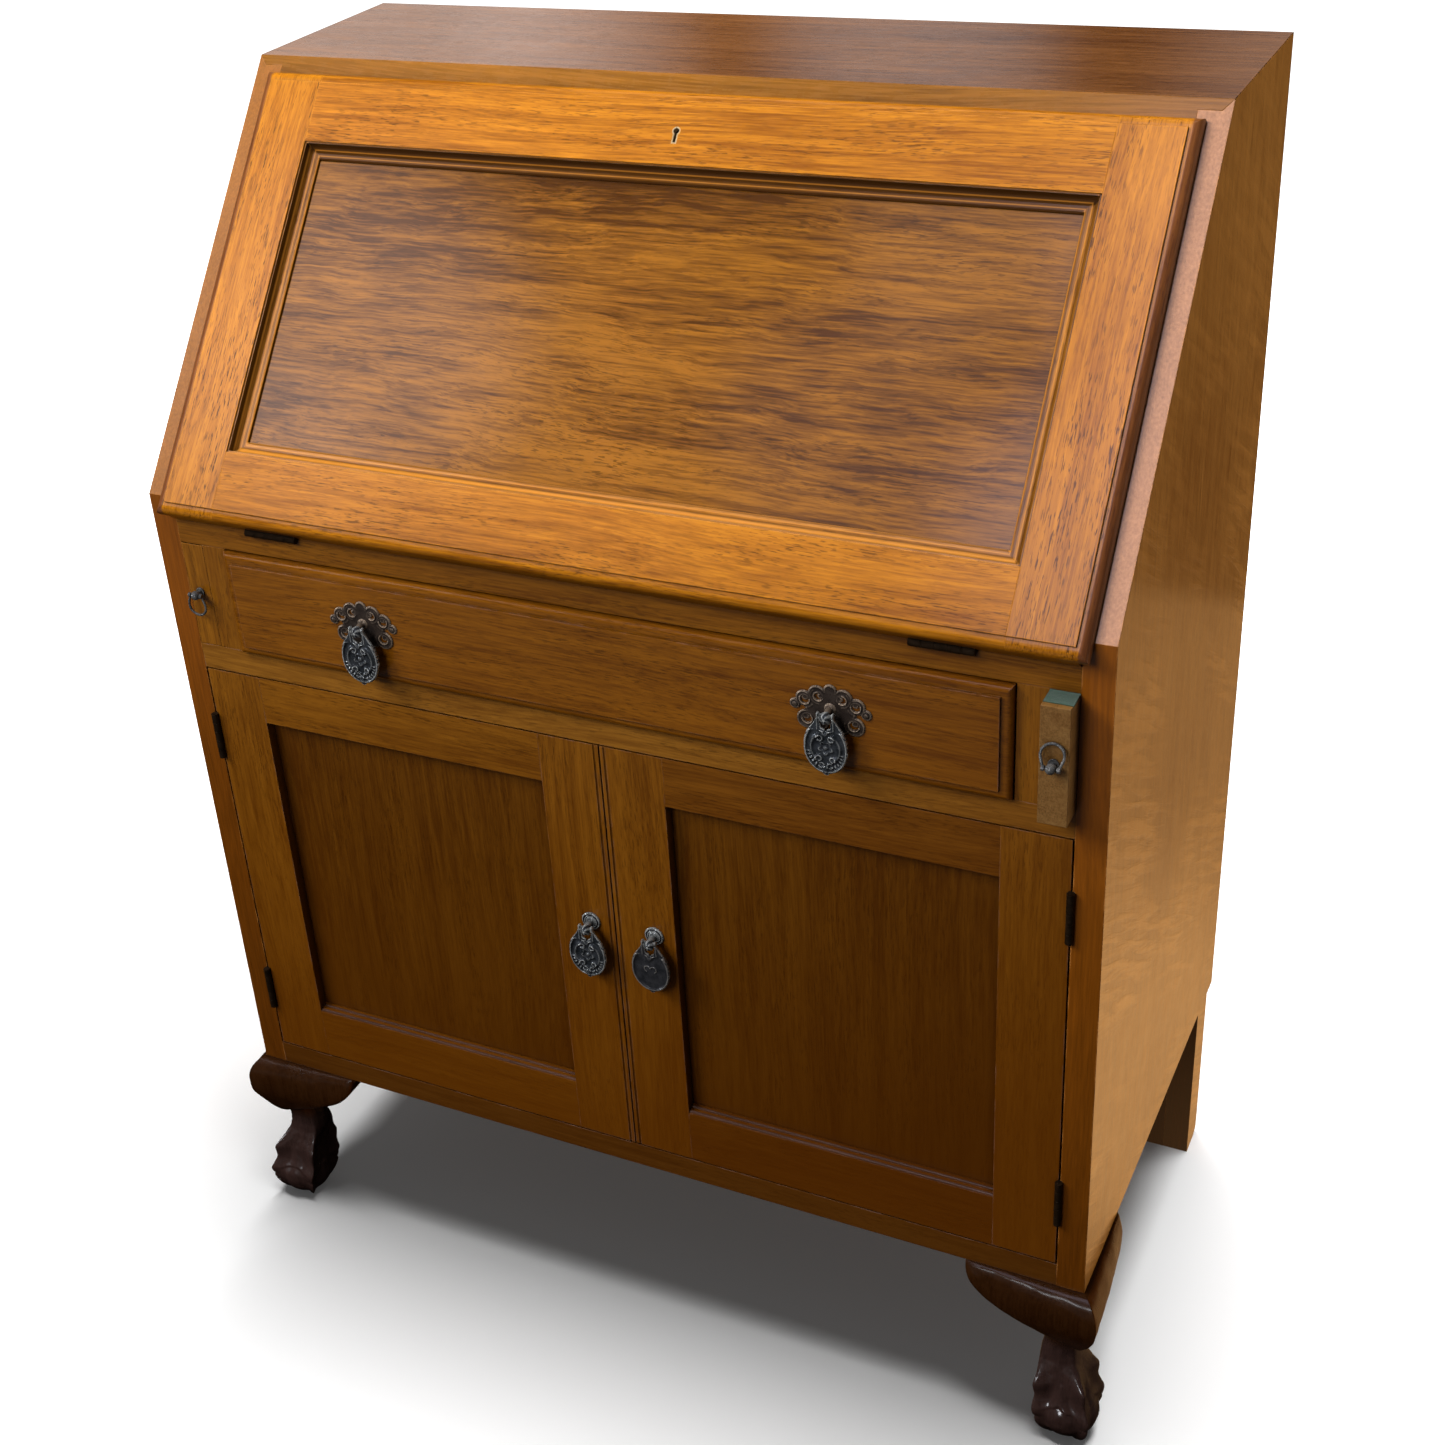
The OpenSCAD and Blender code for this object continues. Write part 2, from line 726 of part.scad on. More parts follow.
module fall_rails() {
    color(amber) on_slope() difference() {
        union() {
            intersection() {
                fall_blank();
                union() {
                    box([-frame_x, fall_s0 - 1, -fall_in - 1], [frame_x, frame_s0, fall_proud + 1]);
                    box([-frame_x, frame_s1, -fall_in - 1], [frame_x, fall_s1 + 1, fall_proud + 1]);
                }
            }
            fall_tenons();
        }
        fall_panel_blank();
        fall_hinge_gains();
        lock_blank();
        keyhole(liner_t, fall_proud + 1);
    }
}

module fall_panel() {
    color(walnut) on_slope() fall_panel_blank();
}

// Moulding profile: distance in from the frame, and height above the panel
module moulding_profile() {
    bead_r = 1.7;
    fillet = 1.3;
    cove_r = moulding_w - fillet - 2 * bead_r - fillet;
    low_h = moulding_h - fillet - cove_r;
    difference() {
        union() {
            square([fillet + cove_r, moulding_h]);
            translate([fillet + cove_r, 0]) square([moulding_w - fillet - cove_r - bead_r, low_h]);
            translate([moulding_w - bead_r, 0]) square([bead_r, low_h - bead_r]);
            translate([moulding_w - bead_r, low_h - bead_r]) circle(bead_r);
        }
        translate([fillet + cove_r, moulding_h - fillet]) circle(cove_r);
        translate([fillet, moulding_h - fillet]) square([cove_r + 1, fillet + 1]);
    }
}

// A strip of moulding along X, cut to a mitre at both ends, facing +Y
module moulding_strip(len) {
    intersection() {
        translate([-len / 2, 0, 0]) rotate([90, 0, 90]) linear_extrude(len) moulding_profile();
        linear_extrude(moulding_h)
            polygon([[-len / 2, 0], [len / 2, 0], [len / 2 - moulding_w, moulding_w], [moulding_w - len / 2, moulding_w]]);
    }
}

module fall_moulding() {
    width = 2 * frame_x;
    height = frame_s1 - frame_s0;
    color(walnut) on_slope() translate([0, frame_s0 + height / 2, 0]) {
        for (turn = [0, 180]) rotate(turn) translate([0, -height / 2, 0]) moulding_strip(width);
        for (turn = [90, 270]) rotate(turn) translate([0, -width / 2, 0]) moulding_strip(height);
    }
}

// ---- Fall lock ----

lock_half_w = 28;
lock_s0 = fall_inner_s1 - 37;
lock_t = 11;
selvedge_t = 1.5;
selvedge_over = 5;
bolt_half_w = 8;
bolt_len = 18;
bolt_lo = -fall_in + 3;
bolt_t = 4;
bolt_gap = 0.2;
liner_t = 1;
liner_d = 4;
key_r = 2.2;
key_slot = 1;
key_drop = 8.5;
key_s = fall_inner_s1 - 23;
keeper_half_w = 26;
keeper_d = 14;
keeper_t = 1.5;

module lock_blank() {
    box([-lock_half_w, lock_s0, -fall_in], [lock_half_w, fall_inner_s1, -fall_in + lock_t]);
    box([-lock_half_w - selvedge_over, fall_inner_s1 - selvedge_t, -fall_in],
        [lock_half_w + selvedge_over, fall_inner_s1, 0]);
}

module lock_body() {
    color(steel) on_slope() difference() {
        union() {
            box([-lock_half_w, lock_s0, -fall_in], [lock_half_w, fall_inner_s1 - selvedge_t, -fall_in + lock_t]);
            box([-lock_half_w - selvedge_over, fall_inner_s1 - selvedge_t, -fall_in],
                [lock_half_w + selvedge_over, fall_inner_s1, 0]);
        }
        box([-bolt_half_w - bolt_gap, fall_inner_s1 - bolt_len - bolt_travel, bolt_lo - bolt_gap],
            [bolt_half_w + bolt_gap, fall_inner_s1 + 1, bolt_lo + bolt_t + bolt_gap]);
        keyhole(0, fall_proud + 1);
    }
}

module lock_bolt() {
    color(brass) on_slope()
        box([-bolt_half_w, fall_inner_s1 - bolt_len, bolt_lo], [bolt_half_w, fall_inner_s1, bolt_lo + bolt_t]);
}

// Round head over a tapering slot, cut down to the lock's key pin
module keyhole(grow, high) {
    lo = -fall_in + 8;
    translate([0, key_s, lo]) {
        cylinder(r = key_r + grow, h = high - lo);
        translate([-key_slot - grow, -key_drop - grow, 0]) cube([2 * (key_slot + grow), key_drop + grow, high - lo]);
    }
}

module keyhole_liner() {
    color(brass) on_slope() intersection() {
        difference() {
            keyhole(liner_t, fall_proud);
            keyhole(0, fall_proud + 1);
        }
        box([-lock_half_w, lock_s0, fall_proud - liner_d], [lock_half_w, fall_s1, fall_proud]);
    }
}

module keeper_blank() {
    y0 = slope_run - top_t * tan(lean) + keeper_t;
    in_case() box([-keeper_half_w, y0, top_z], [keeper_half_w, y0 + keeper_d, top_z + keeper_t]);
}

// The path that the bolt takes into the top board
module bolt_way() {
    gap = 3 * bolt_gap;
    on_slope() box([-bolt_half_w - gap, fall_inner_s1 - 1, bolt_lo - gap],
        [bolt_half_w + gap, fall_inner_s1 + bolt_travel + gap, bolt_lo + bolt_t + gap]);
}

module lock_keeper() {
    color(brass) difference() {
        keeper_blank();
        bolt_way();
    }
}

// ---- Lopers ----

// Right-hand loper pushed in, with its front end in the plane of the case front
module loper() {
    z0 = drawer_z + loper_gap;
    difference() {
        box([loper_x - loper_w / 2, 0, z0], [loper_x + loper_w / 2, loper_len, z0 + loper_h]);
        box([loper_x - loper_w, baize_back, z0 + loper_h - baize_let_in],
            [loper_x + loper_w, baize_back + baize_len, z0 + loper_h + 1]);
    }
    translate([loper_x - loper_w / 2 - peg_len, loper_len - peg_back, loper_mid_z]) rotate([0, 90, 0])
        cylinder(r = peg_r, h = peg_len);
}

module loper_baize() {
    z0 = drawer_z + loper_gap + loper_h - baize_let_in;
    box([loper_x - loper_w / 2, baize_back, z0], [loper_x + loper_w / 2, baize_back + baize_len, z0 + baize_t]);
}

module right_loper_place() {
    in_case() translate([0, -loper_rest_out, 0]) children();
}

module left_loper_place() {
    in_case() mirror([1, 0, 0]) children();
}

module loper_right() {
    color(umber) right_loper_place() loper();
}

module loper_left() {
    color(umber) left_loper_place() loper();
}

module loper_baize_right() {
    color(green) right_loper_place() loper_baize();
}

module loper_baize_left() {
    color(green) left_loper_place() loper_baize();
}

// A ball head on a turned neck, with the pin through it; the face that carries it is at y = 0
module ball_head(reach, ball, pin, base_r) {
    pin_half = ball + ear_in + ear_t + ear_in;
    translate([0, -reach, 0]) {
        sphere(ball, $fn = 32);
        rotate([0, 90, 0]) cylinder(r = pin, h = 2 * pin_half, center = true);
    }
    rotate([90, 0, 0]) {
        cylinder(r = base_r, h = 1.2);
        cylinder(r = ball * 0.55, h = reach);
    }
}

module loper_knob() {
    translate([loper_x, 0, knob_z]) ball_head(knob_head, knob_ball_r, knob_pin_r, knob_ball_r);
}

module loper_knob_right() {
    color(bronze) right_loper_place() loper_knob();
}

module loper_knob_left() {
    color(bronze) left_loper_place() loper_knob();
}

// One section of the ring's wire, square to its run
function wire_section(x, z, turn, n = 12) = [for (j = [0:n - 1]) let (a = 360 * j / n)
    [x + wire_r * cos(a) * sin(turn), -wire_r * sin(a), z + wire_r * cos(a) * cos(turn)]];

// Wire stirrup hanging from the pin, which runs along X through the origin
module loper_ring() {
    eye_x = knob_ball_r + ear_in + wire_r;
    eye_r = 2;
    steps = 22;
    reach = norm([eye_x, ring_mid]);
    half_open = atan2(eye_x, ring_mid) + acos(ring_r / reach);
    start_x = eye_x + 1.4 * cos(half_open);
    start_z = -1.4 * sin(half_open);
    difference() {
        union() {
            skin(concat(
                [wire_section(start_x, start_z, half_open)],
                [for (i = [0:steps]) let (a = half_open + (360 - 2 * half_open) * i / steps)
                    wire_section(ring_r * sin(a), ring_r * cos(a) - ring_mid, a)],
                [wire_section(-start_x, start_z, 360 - half_open)]
            ));
            both_sides() translate([eye_x - wire_r, 0, 0]) rotate([0, 90, 0]) cylinder(r = eye_r, h = 2 * wire_r);
        }
        rotate([0, 90, 0]) cylinder(r = knob_pin_r + fit, h = 4 * ring_r, center = true);
    }
}

module loper_ring_left() {
    color(bronze) left_loper_place() translate([loper_x, -knob_head, knob_z]) loper_ring();
}

module loper_ring_right() {
    color(bronze) right_loper_place() translate([loper_x, -knob_head, knob_z])
        rotate([180 - ring_lean, 0, 0]) loper_ring();
}

// ---- Drawer ----

module drawer_front() {
    z0 = drawer_z + drawer_gap;
    z1 = deck_z - drawer_gap;
    color(umber) in_case() difference() {
        intersection() {
            translate([0, 0, z0]) linear_extrude(z1 - z0) mirror([0, 1])
                lip_section(-drawer_x, drawer_x, -drawer_x, drawer_x,
                    drawer_front_t, 0, front_flat, front_r, drawer_proud, drawer_proud);
            across(-drawer_x, drawer_x) rotate(90)
                lip_section(z0, z1, z0, z1, drawer_front_t, 0, front_flat, front_r, drawer_proud, drawer_proud);
        }
        drawer_side_blanks();
        drawer_bottom_blank();
    }
}

module drawer_side_blanks() {
    both_sides()
        box([drawer_x - drawer_side_t, drawer_front_t - dovetail_len, drawer_z + drawer_gap / 2],
            [drawer_x, drawer_len, deck_z - drawer_low]);
}

module drawer_bottom_blank() {
    z0 = drawer_z + drawer_floor_up;
    half = drawer_x - drawer_side_t + drawer_groove;
    box([-half, drawer_front_t - drawer_groove, z0], [half, drawer_len, z0 + drawer_bottom_t]);
}

module drawer_sides() {
    color(pale) in_case() difference() {
        drawer_side_blanks();
        drawer_bottom_blank();
    }
}

module drawer_back() {
    half = drawer_x - drawer_side_t;
    color(pale) in_case()
        box([-half, drawer_len - drawer_side_t, drawer_z + drawer_floor_up + drawer_bottom_t],
            [half, drawer_len, deck_z - drawer_back_low]);
}

module drawer_bottom() {
    color(pale) in_case() drawer_bottom_blank();
}

// ---- Pulls ----

// Crescent opening, open side up
module crescent(r) {
    difference() {
        circle(r, $fn = 32);
        translate([0, r * 0.55]) circle(r * 0.85, $fn = 32);
    }
}

// Backplate outline: a low fan of lobes, wider than it is tall
module plate_outline() {
    polygon([[-26, 1], [-11, 13], [0, 17], [11, 13], [26, 1], [17, -13], [0, -17], [-17, -13]]);
    translate([0, 13]) circle(5);
    translate([0, -15]) circle(5);
    for (side = [-1, 1]) {
        translate([side * 10, 9]) circle(6.5);
        translate([side * 19, 4.5]) circle(6);
        translate([side * 26, -0.5]) circle(4);
        translate([side * 17.5, -11]) circle(6.5);
    }
}

module plate_piercings() {
    for (side = [-1, 1]) {
        translate([side * 9, 7.5]) rotate(side * 70) crescent(3.2);
        translate([side * 19, 3.5]) rotate(side * 10) crescent(3.4);
        translate([side * 17, -10]) rotate(180 - side * 30) crescent(3.4);
        translate([side * 26, -0.6]) circle(1.4);
    }
}

module drawer_plate() {
    rotate([90, 0, 0]) linear_extrude(plate_t) scale(plate_w / 60) difference() {
        plate_outline();
        plate_piercings();
    }
    translate([0, -plate_t, 0]) ball_head(pull_head, pull_ball_r, pull_pin_r, pull_ball_r * 1.3);
}

module drawer_plates() {
    color(bronze) in_case() for (side = [-1, 1])
        translate([side * drawer_pull_x, -drawer_proud, drop_z]) drawer_plate();
}

// Oval drop hanging from the pin, which runs along X through the origin, with its relief on -Y
module drop() {
    ear_x = pull_ball_r + ear_in;
    rim = 1.6;
    difference() {
        union() {
            rotate([90, 0, 0]) translate([0, 0, -drop_t / 2]) linear_extrude(drop_t)
                difference() {
                    union() {
                        translate([0, -drop_mid]) ellipse(drop_rx, drop_ry);
                        translate([0, -drop_mid - drop_ry]) circle(1.8);
                        polygon([
                            [ear_x, 0], [ear_x + ear_t, 0], [drop_rx * 0.6, -drop_mid + drop_ry * 0.75],
                            [-drop_rx * 0.6, -drop_mid + drop_ry * 0.75], [-ear_x - ear_t, 0], [-ear_x, 0]
                        ]);
                    }
                    translate([0, -4]) heart(ear_x);
                }
            both_sides() translate([ear_x, 0, 0]) rotate([0, 90, 0]) cylinder(r = ear_r, h = ear_t);
            rotate([90, 0, 0]) translate([0, -drop_mid, drop_t / 2]) {
                drop_relief(rim);
                cylinder(r1 = 4.5, r2 = 3, h = 1);
            }
        }
        rotate([0, 90, 0]) cylinder(r = pull_pin_r + fit, h = 4 * pull_ball_r, center = true);
    }
}

module ellipse(rx, ry) {
    scale([rx / ry, 1]) circle(ry, $fn = 64);
}

// Opening between the drop's arms: round under the ball, pointed below
module heart(half) {
    translate([0, 3]) square([2 * half, 8], center = true);
    translate([-half * 0.42, -2]) circle(half * 0.58);
    translate([half * 0.42, -2]) circle(half * 0.58);
    polygon([[-half, 0], [half, 0], [half * 0.85, -4], [0, -9], [-half * 0.85, -4]]);
}

// Raised rim and a pair of scrolls
module drop_relief(rim) {
    linear_extrude(0.7) difference() {
        ellipse(drop_rx, drop_ry);
        ellipse(drop_rx - rim, drop_ry - rim);
        translate([0, drop_ry - 2]) square([drop_rx, 10], center = true);
    }
    linear_extrude(0.9) for (side = [-1, 1])
        translate([side * 7.5, 0]) difference() {
            ellipse(4.4, 9);
            translate([-side * 1.8, 0]) ellipse(3.6, 7.6);
        }
}

module at_drawer_pull(side) {
    in_case() translate([side * drawer_pull_x, drawer_pull_y, drop_z]) children();
}

module drawer_drop_left() {
    color(bronze) at_drawer_pull(-1) drop();
}

module drawer_drop_right() {
    color(bronze) at_drawer_pull(1) drop();
}

// ---- Doors ----

door_x0 = door_ease / 2;
door_x1 = inner_x - door_gap;
door_z0 = door_z + door_ease;
door_z1 = drawer_rail_z - door_ease;
panel_x0 = meeting_stile_w;
panel_x1 = door_x1 - door_stile_w;
panel_z0 = door_z0 + door_bottom_rail_w;
panel_z1 = door_z1 - door_top_rail_w;
meet_bead_r = 1.6;
catch_r = 4;
catch_len = 14;
catch_x = 14;
catch_ball_r = 2.4;
catch_gap = 0.15;

// Space taken by a door's panel and its tongue
module door_panel_blank() {
    box([panel_x0, door_recess, panel_z0], [panel_x1, door_recess + door_panel_t, panel_z1]);
    box([panel_x0 - groove_d, door_recess + 1, panel_z0 - groove_d],
        [panel_x1 + groove_d, door_recess + door_panel_t - 1, panel_z1 + groove_d]);
}

module door_tenons() {
    in = 6;
    y0 = (door_t - tenon_t) / 2 + 2;
    for (z = [[door_z0 + in, panel_z0 - in], [panel_z1 + in, door_z1 - in]])
        box([panel_x0 - tenon_len, y0, z[0]], [panel_x1 + tenon_len, y0 + tenon_t, z[1]]);
}

module door_stiles() {
    difference() {
        union() {
            box([door_x0, 0, door_z0], [panel_x0, door_t, door_z1]);
            box([panel_x1, 0, door_z0], [door_x1, door_t, door_z1]);
        }
        door_tenons();
        door_panel_blank();
        door_hinge_relief();
        for (z = door_hinge_zs)
            box([door_axis_x - fit - door_leaf_t, -1, z], [inner_x, door_leaf_w + door_axis_y, z + door_hinge_len]);
        // Quirk that leaves a bead on the meeting edge
        translate([door_x0 + 2 * meet_bead_r + 0.5, 0, door_z0 - 1]) cylinder(r = 0.9, h = door_z1, $fn = 16);
        translate([catch_x, door_t / 2, door_z1 - catch_len]) cylinder(r = catch_r + catch_gap, h = catch_len + 1);
    }
}

// Rail with the beaded moulding run along its panel edge; the edge is at z = 0 and faces up
module rail_moulding(len) {
    rotate([90, 0, 90]) linear_extrude(len) {
        square([door_recess, 3]);
        translate([2.4, 3]) circle(2.2);
        translate([2.4, 0]) square([door_recess - 2.4, 5.2]);
        translate([door_recess - 2.6, 5.2]) circle(1.8);
        translate([door_recess - 2.6, 5.2]) square([2.6, 1.8]);
    }
}

module door_rails() {
    difference() {
        union() {
            box([panel_x0, 0, door_z0], [panel_x1, door_t, panel_z0]);
            box([panel_x0, 0, panel_z1], [panel_x1, door_t, door_z1]);
            door_tenons();
        }
        door_panel_blank();
    }
    translate([panel_x0, 0, panel_z0]) rail_moulding(panel_x1 - panel_x0);
}

module door_panel() {
    color(umber) door_panel_blank();
}

// The door's halves of its hinges, and the ball catch in its top edge
module door_fittings() {
    at_door_hinges()
        hinge_half(door_hinge_len, door_knuckle_r, door_pin_r, door_leaf_w, door_leaf_t, fit, 1);
    translate([catch_x, door_t / 2, door_z1 - catch_len]) {
        cylinder(r = catch_r, h = catch_len);
        intersection() {
            translate([0, 0, catch_len + door_ease - 0.3 - catch_ball_r]) sphere(catch_ball_r, $fn = 32);
            cylinder(r = catch_r, h = catch_len + door_ease);
        }
    }
}

module door_rosette(x) {
    color(bronze) translate([x, 0, door_z + door_pull_z]) {
        rotate([90, 0, 0]) {
            cylinder(r = rosette_r, h = rosette_t * 0.5);
            cylinder(r = rosette_r * 0.78, h = rosette_t * 0.8);
        }
        translate([0, 0, 0]) ball_head(-door_pull_y, pull_ball_r, pull_pin_r, rosette_r * 0.6);
    }
}

module door_right_stiles() {
    color(umber) in_case() door_stiles();
}

module door_left_stiles() {
    color(umber) in_case() mirror([1, 0, 0]) door_stiles();
}

module door_right_rails() {
    color(umber) in_case() door_rails();
}

module door_left_rails() {
    color(umber) in_case() mirror([1, 0, 0]) door_rails();
}

module door_right_panel() {
    in_case() door_panel();
}

module door_left_panel() {
    in_case() mirror([1, 0, 0]) door_panel();
}

module door_right_fittings() {
    color(brass) in_case() door_fittings();
}

module door_left_fittings() {
    color(brass) in_case() mirror([1, 0, 0]) door_fittings();
}

module door_right_rosette() {
    in_case() door_rosette(pull_x_right);
}

module door_left_rosette() {
    in_case() door_rosette(-pull_x_left);
}

// The right door's drop hangs back to front, with its plain face outwards
module door_right_drop() {
    color(bronze) in_case() translate([pull_x_right, door_pull_y, door_z + door_pull_z]) rotate(180) drop();
}

module door_left_drop() {
    color(bronze) in_case() translate([-pull_x_left, door_pull_y, door_z + door_pull_z]) drop();
}

side_left();
side_right();
top();
back_panel();
writing_deck();
drawer_rail();
bottom_rail();
bottom_board();
divider_left();
divider_right();
drawer_runners();
cupboard_shelf();
shelf_cleats();
door_stop();
leg_left();
leg_right();
knee_blocks();
rear_feet();
pigeonhole_shelf();
pigeonhole_dividers();
hinge_plates();
hinge_pins();
lock_keeper();
fall_stiles();
fall_rails();
fall_panel();
fall_moulding();
fall_hinge_leaves();
lock_body();
lock_bolt();
keyhole_liner();
loper_left();
loper_right();
loper_baize_left();
loper_baize_right();
loper_knob_left();
loper_knob_right();
loper_ring_left();
loper_ring_right();
drawer_front();
drawer_sides();
drawer_back();
drawer_bottom();
drawer_plates();
drawer_drop_left();
drawer_drop_right();
door_left_stiles();
door_left_rails();
door_left_panel();
door_left_fittings();
door_left_rosette();
door_left_drop();
door_right_stiles();
door_right_rails();
door_right_panel();
door_right_fittings();
door_right_rosette();
door_right_drop();
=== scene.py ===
import math
import bpy
import numpy as np
from mathutils import Matrix, Vector


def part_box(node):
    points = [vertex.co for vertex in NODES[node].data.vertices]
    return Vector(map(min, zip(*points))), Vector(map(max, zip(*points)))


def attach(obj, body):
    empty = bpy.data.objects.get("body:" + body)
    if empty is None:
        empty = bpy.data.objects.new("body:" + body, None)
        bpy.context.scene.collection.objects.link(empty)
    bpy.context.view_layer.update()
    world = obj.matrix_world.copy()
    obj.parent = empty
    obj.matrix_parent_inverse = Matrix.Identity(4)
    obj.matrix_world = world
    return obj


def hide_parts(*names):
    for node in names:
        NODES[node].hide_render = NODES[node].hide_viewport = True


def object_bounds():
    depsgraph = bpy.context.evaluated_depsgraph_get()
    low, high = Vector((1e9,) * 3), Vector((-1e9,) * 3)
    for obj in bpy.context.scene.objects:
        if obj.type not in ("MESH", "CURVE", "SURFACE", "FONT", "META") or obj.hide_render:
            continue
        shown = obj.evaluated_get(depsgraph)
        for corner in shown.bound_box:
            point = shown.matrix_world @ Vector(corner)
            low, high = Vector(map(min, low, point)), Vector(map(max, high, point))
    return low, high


# Secretary desk: finishes for the CAD's joinery, carved legs and chased pulls in place of the CAD's plain
# ones, and the studio. Lengths are in metres, except where legs and pulls are carved, in mm.

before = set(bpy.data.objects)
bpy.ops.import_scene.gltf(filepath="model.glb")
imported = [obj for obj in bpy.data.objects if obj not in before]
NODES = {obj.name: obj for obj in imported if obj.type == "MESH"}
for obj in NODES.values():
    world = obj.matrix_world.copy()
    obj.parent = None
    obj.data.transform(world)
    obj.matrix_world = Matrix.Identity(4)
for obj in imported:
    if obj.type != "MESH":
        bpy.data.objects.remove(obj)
cad_lo, cad_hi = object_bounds()

# ---------------------------------------------------------------- node helpers

class Graph:
    """Small wrapper that fills a node tree."""

    def __init__(self, tree):
        self.tree = tree
        tree.nodes.clear()

    def node(self, kind, **props):
        n = self.tree.nodes.new("ShaderNode" + kind)
        for k, v in props.items():
            setattr(n, k, v)
        return n

    def put(self, socket, value):
        """Link a socket to another node's output, or set it to a constant."""
        if isinstance(value, bpy.types.NodeSocket):
            self.tree.links.new(value, socket)
        elif isinstance(value, (tuple, list)) and socket.type == "RGBA" and len(value) == 3:
            socket.default_value = (*value, 1)
        else:
            socket.default_value = value

    def math(self, op, a, b=0.0, c=0.0, clamp=False):
        n = self.node("Math", operation=op, use_clamp=clamp)
        for s, v in zip(n.inputs, (a, b, c)):
            self.put(s, v)
        return n.outputs[0]

    def mul(self, a, b):
        return self.math("MULTIPLY", a, b)

    def add(self, a, b):
        return self.math("ADD", a, b)

    def sub(self, a, b):
        return self.math("SUBTRACT", a, b)

    def vmath(self, op, a, b=(0, 0, 0)):
        n = self.node("VectorMath", operation=op)
        self.put(n.inputs[0], a)
        self.put(n.inputs[1], b)
        return n.outputs[1 if op in ("DOT_PRODUCT", "LENGTH") else 0]

    def split(self, vector):
        """The vector's X, Y and Z."""
        n = self.node("SeparateXYZ")
        self.put(n.inputs[0], vector)
        return n.outputs

    def stretch(self, vector, scale=(1, 1, 1), shift=(0, 0, 0), rotation=(0, 0, 0)):
        m = self.node("Mapping")
        self.put(m.inputs["Vector"], vector)
        m.inputs["Location"].default_value = shift
        m.inputs["Rotation"].default_value = rotation
        m.inputs["Scale"].default_value = scale
        return m.outputs[0]

    def noise(self, vector, scale=1.0, detail=4.0, rough=0.5, distort=0.0):
        n = self.node("TexNoise")
        self.put(n.inputs["Vector"], vector)
        n.inputs["Scale"].default_value = scale
        n.inputs["Detail"].default_value = detail
        n.inputs["Roughness"].default_value = rough
        n.inputs["Distortion"].default_value = distort
        return n.outputs[0]

    def remap(self, value, lo, hi, a=0.0, b=1.0, smooth=False):
        n = self.node("MapRange", interpolation_type="SMOOTHSTEP" if smooth else "LINEAR")
        self.put(n.inputs["Value"], value)
        for k, v in (("From Min", lo), ("From Max", hi), ("To Min", a), ("To Max", b)):
            self.put(n.inputs[k], v)
        return n.outputs[0]

    def mix(self, fac, a, b, kind="MIX"):
        n = self.node("Mix", data_type="RGBA", blend_type=kind)
        self.put(n.inputs[0], fac)
        self.put(n.inputs[6], a)
        self.put(n.inputs[7], b)
        return n.outputs[2]

    def ramp(self, fac, stops):
        n = self.node("ValToRGB")
        self.put(n.inputs[0], fac)
        e = n.color_ramp.elements
        while len(e) < len(stops):
            e.new(0.5)
        for el, (pos, col) in zip(e, stops):
            el.position = pos
            el.color = (*col, 1)
        return n.outputs[0]

    def bump(self, height, strength, distance, normal=None):
        n = self.node("Bump")
        self.put(n.inputs["Height"], height)
        n.inputs["Strength"].default_value = strength
        n.inputs["Distance"].default_value = distance
        if normal is not None:
            self.put(n.inputs["Normal"], normal)
        return n.outputs[0]

    def bevel(self, radius):
        """The normal with its arrises rounded."""
        n = self.node("Bevel", samples=4)
        n.inputs["Radius"].default_value = radius
        return n.outputs[0]

    def hollows(self, distance):
        """Ambient occlusion: 0 in tight corners, 1 in the open."""
        n = self.node("AmbientOcclusion", samples=4)
        n.inputs["Distance"].default_value = distance
        return n.outputs["AO"]


class Paint(Graph):
    """A material with one Principled shader."""

    def __init__(self, name):
        self.mat = bpy.data.materials.new(name)
        self.mat.use_nodes = True
        super().__init__(self.mat.node_tree)
        self.out = self.node("OutputMaterial")
        self.bsdf = self.node("BsdfPrincipled")
        self.put(self.out.inputs[0], self.bsdf.outputs[0])

    def set(self, **values):
        for k, v in values.items():
            self.put(self.bsdf.inputs[k.replace("_", " ")], v)


# The fall leans back by its run over its rise, mm
FALL_RUN, FALL_RISE = 230.0, 279.0
LEAN = math.atan2(FALL_RUN, FALL_RISE)
# Rotations that bring a board's grain onto the local X axis
ALONG = {"x": (0, 0, 0), "z": (0, math.pi / 2, 0), "y": (0, 0, -math.pi / 2)}
# Heights between which the painted shade low on the front goes from darkest to none, m
DARK_Z, FULL_Z = 0.16, 0.66


def srgb(*c):
    """Linear colour from sRGB values of 0 to 255."""
    return tuple(v / 12.92 if v <= 0.04045 else ((v + 0.055) / 1.055) ** 2.4 for v in (k / 255 for k in c))


def times(colour, k):
    """The colour k times as bright, at most 1."""
    return tuple(min(1, v * k) for v in colour)


def shades(mid, spread):
    """Dark, middle and light colour of one timber, from its middle colour and how far it varies."""
    m = srgb(*mid)
    dark = tuple(v * (1 - spread) * k for v, k in zip(m, (1, 0.88, 0.75)))
    light = tuple(v * (1 + 0.95 * spread) * k for v, k in zip(m, (1, 1.05, 1.15)))
    return dark, m, light


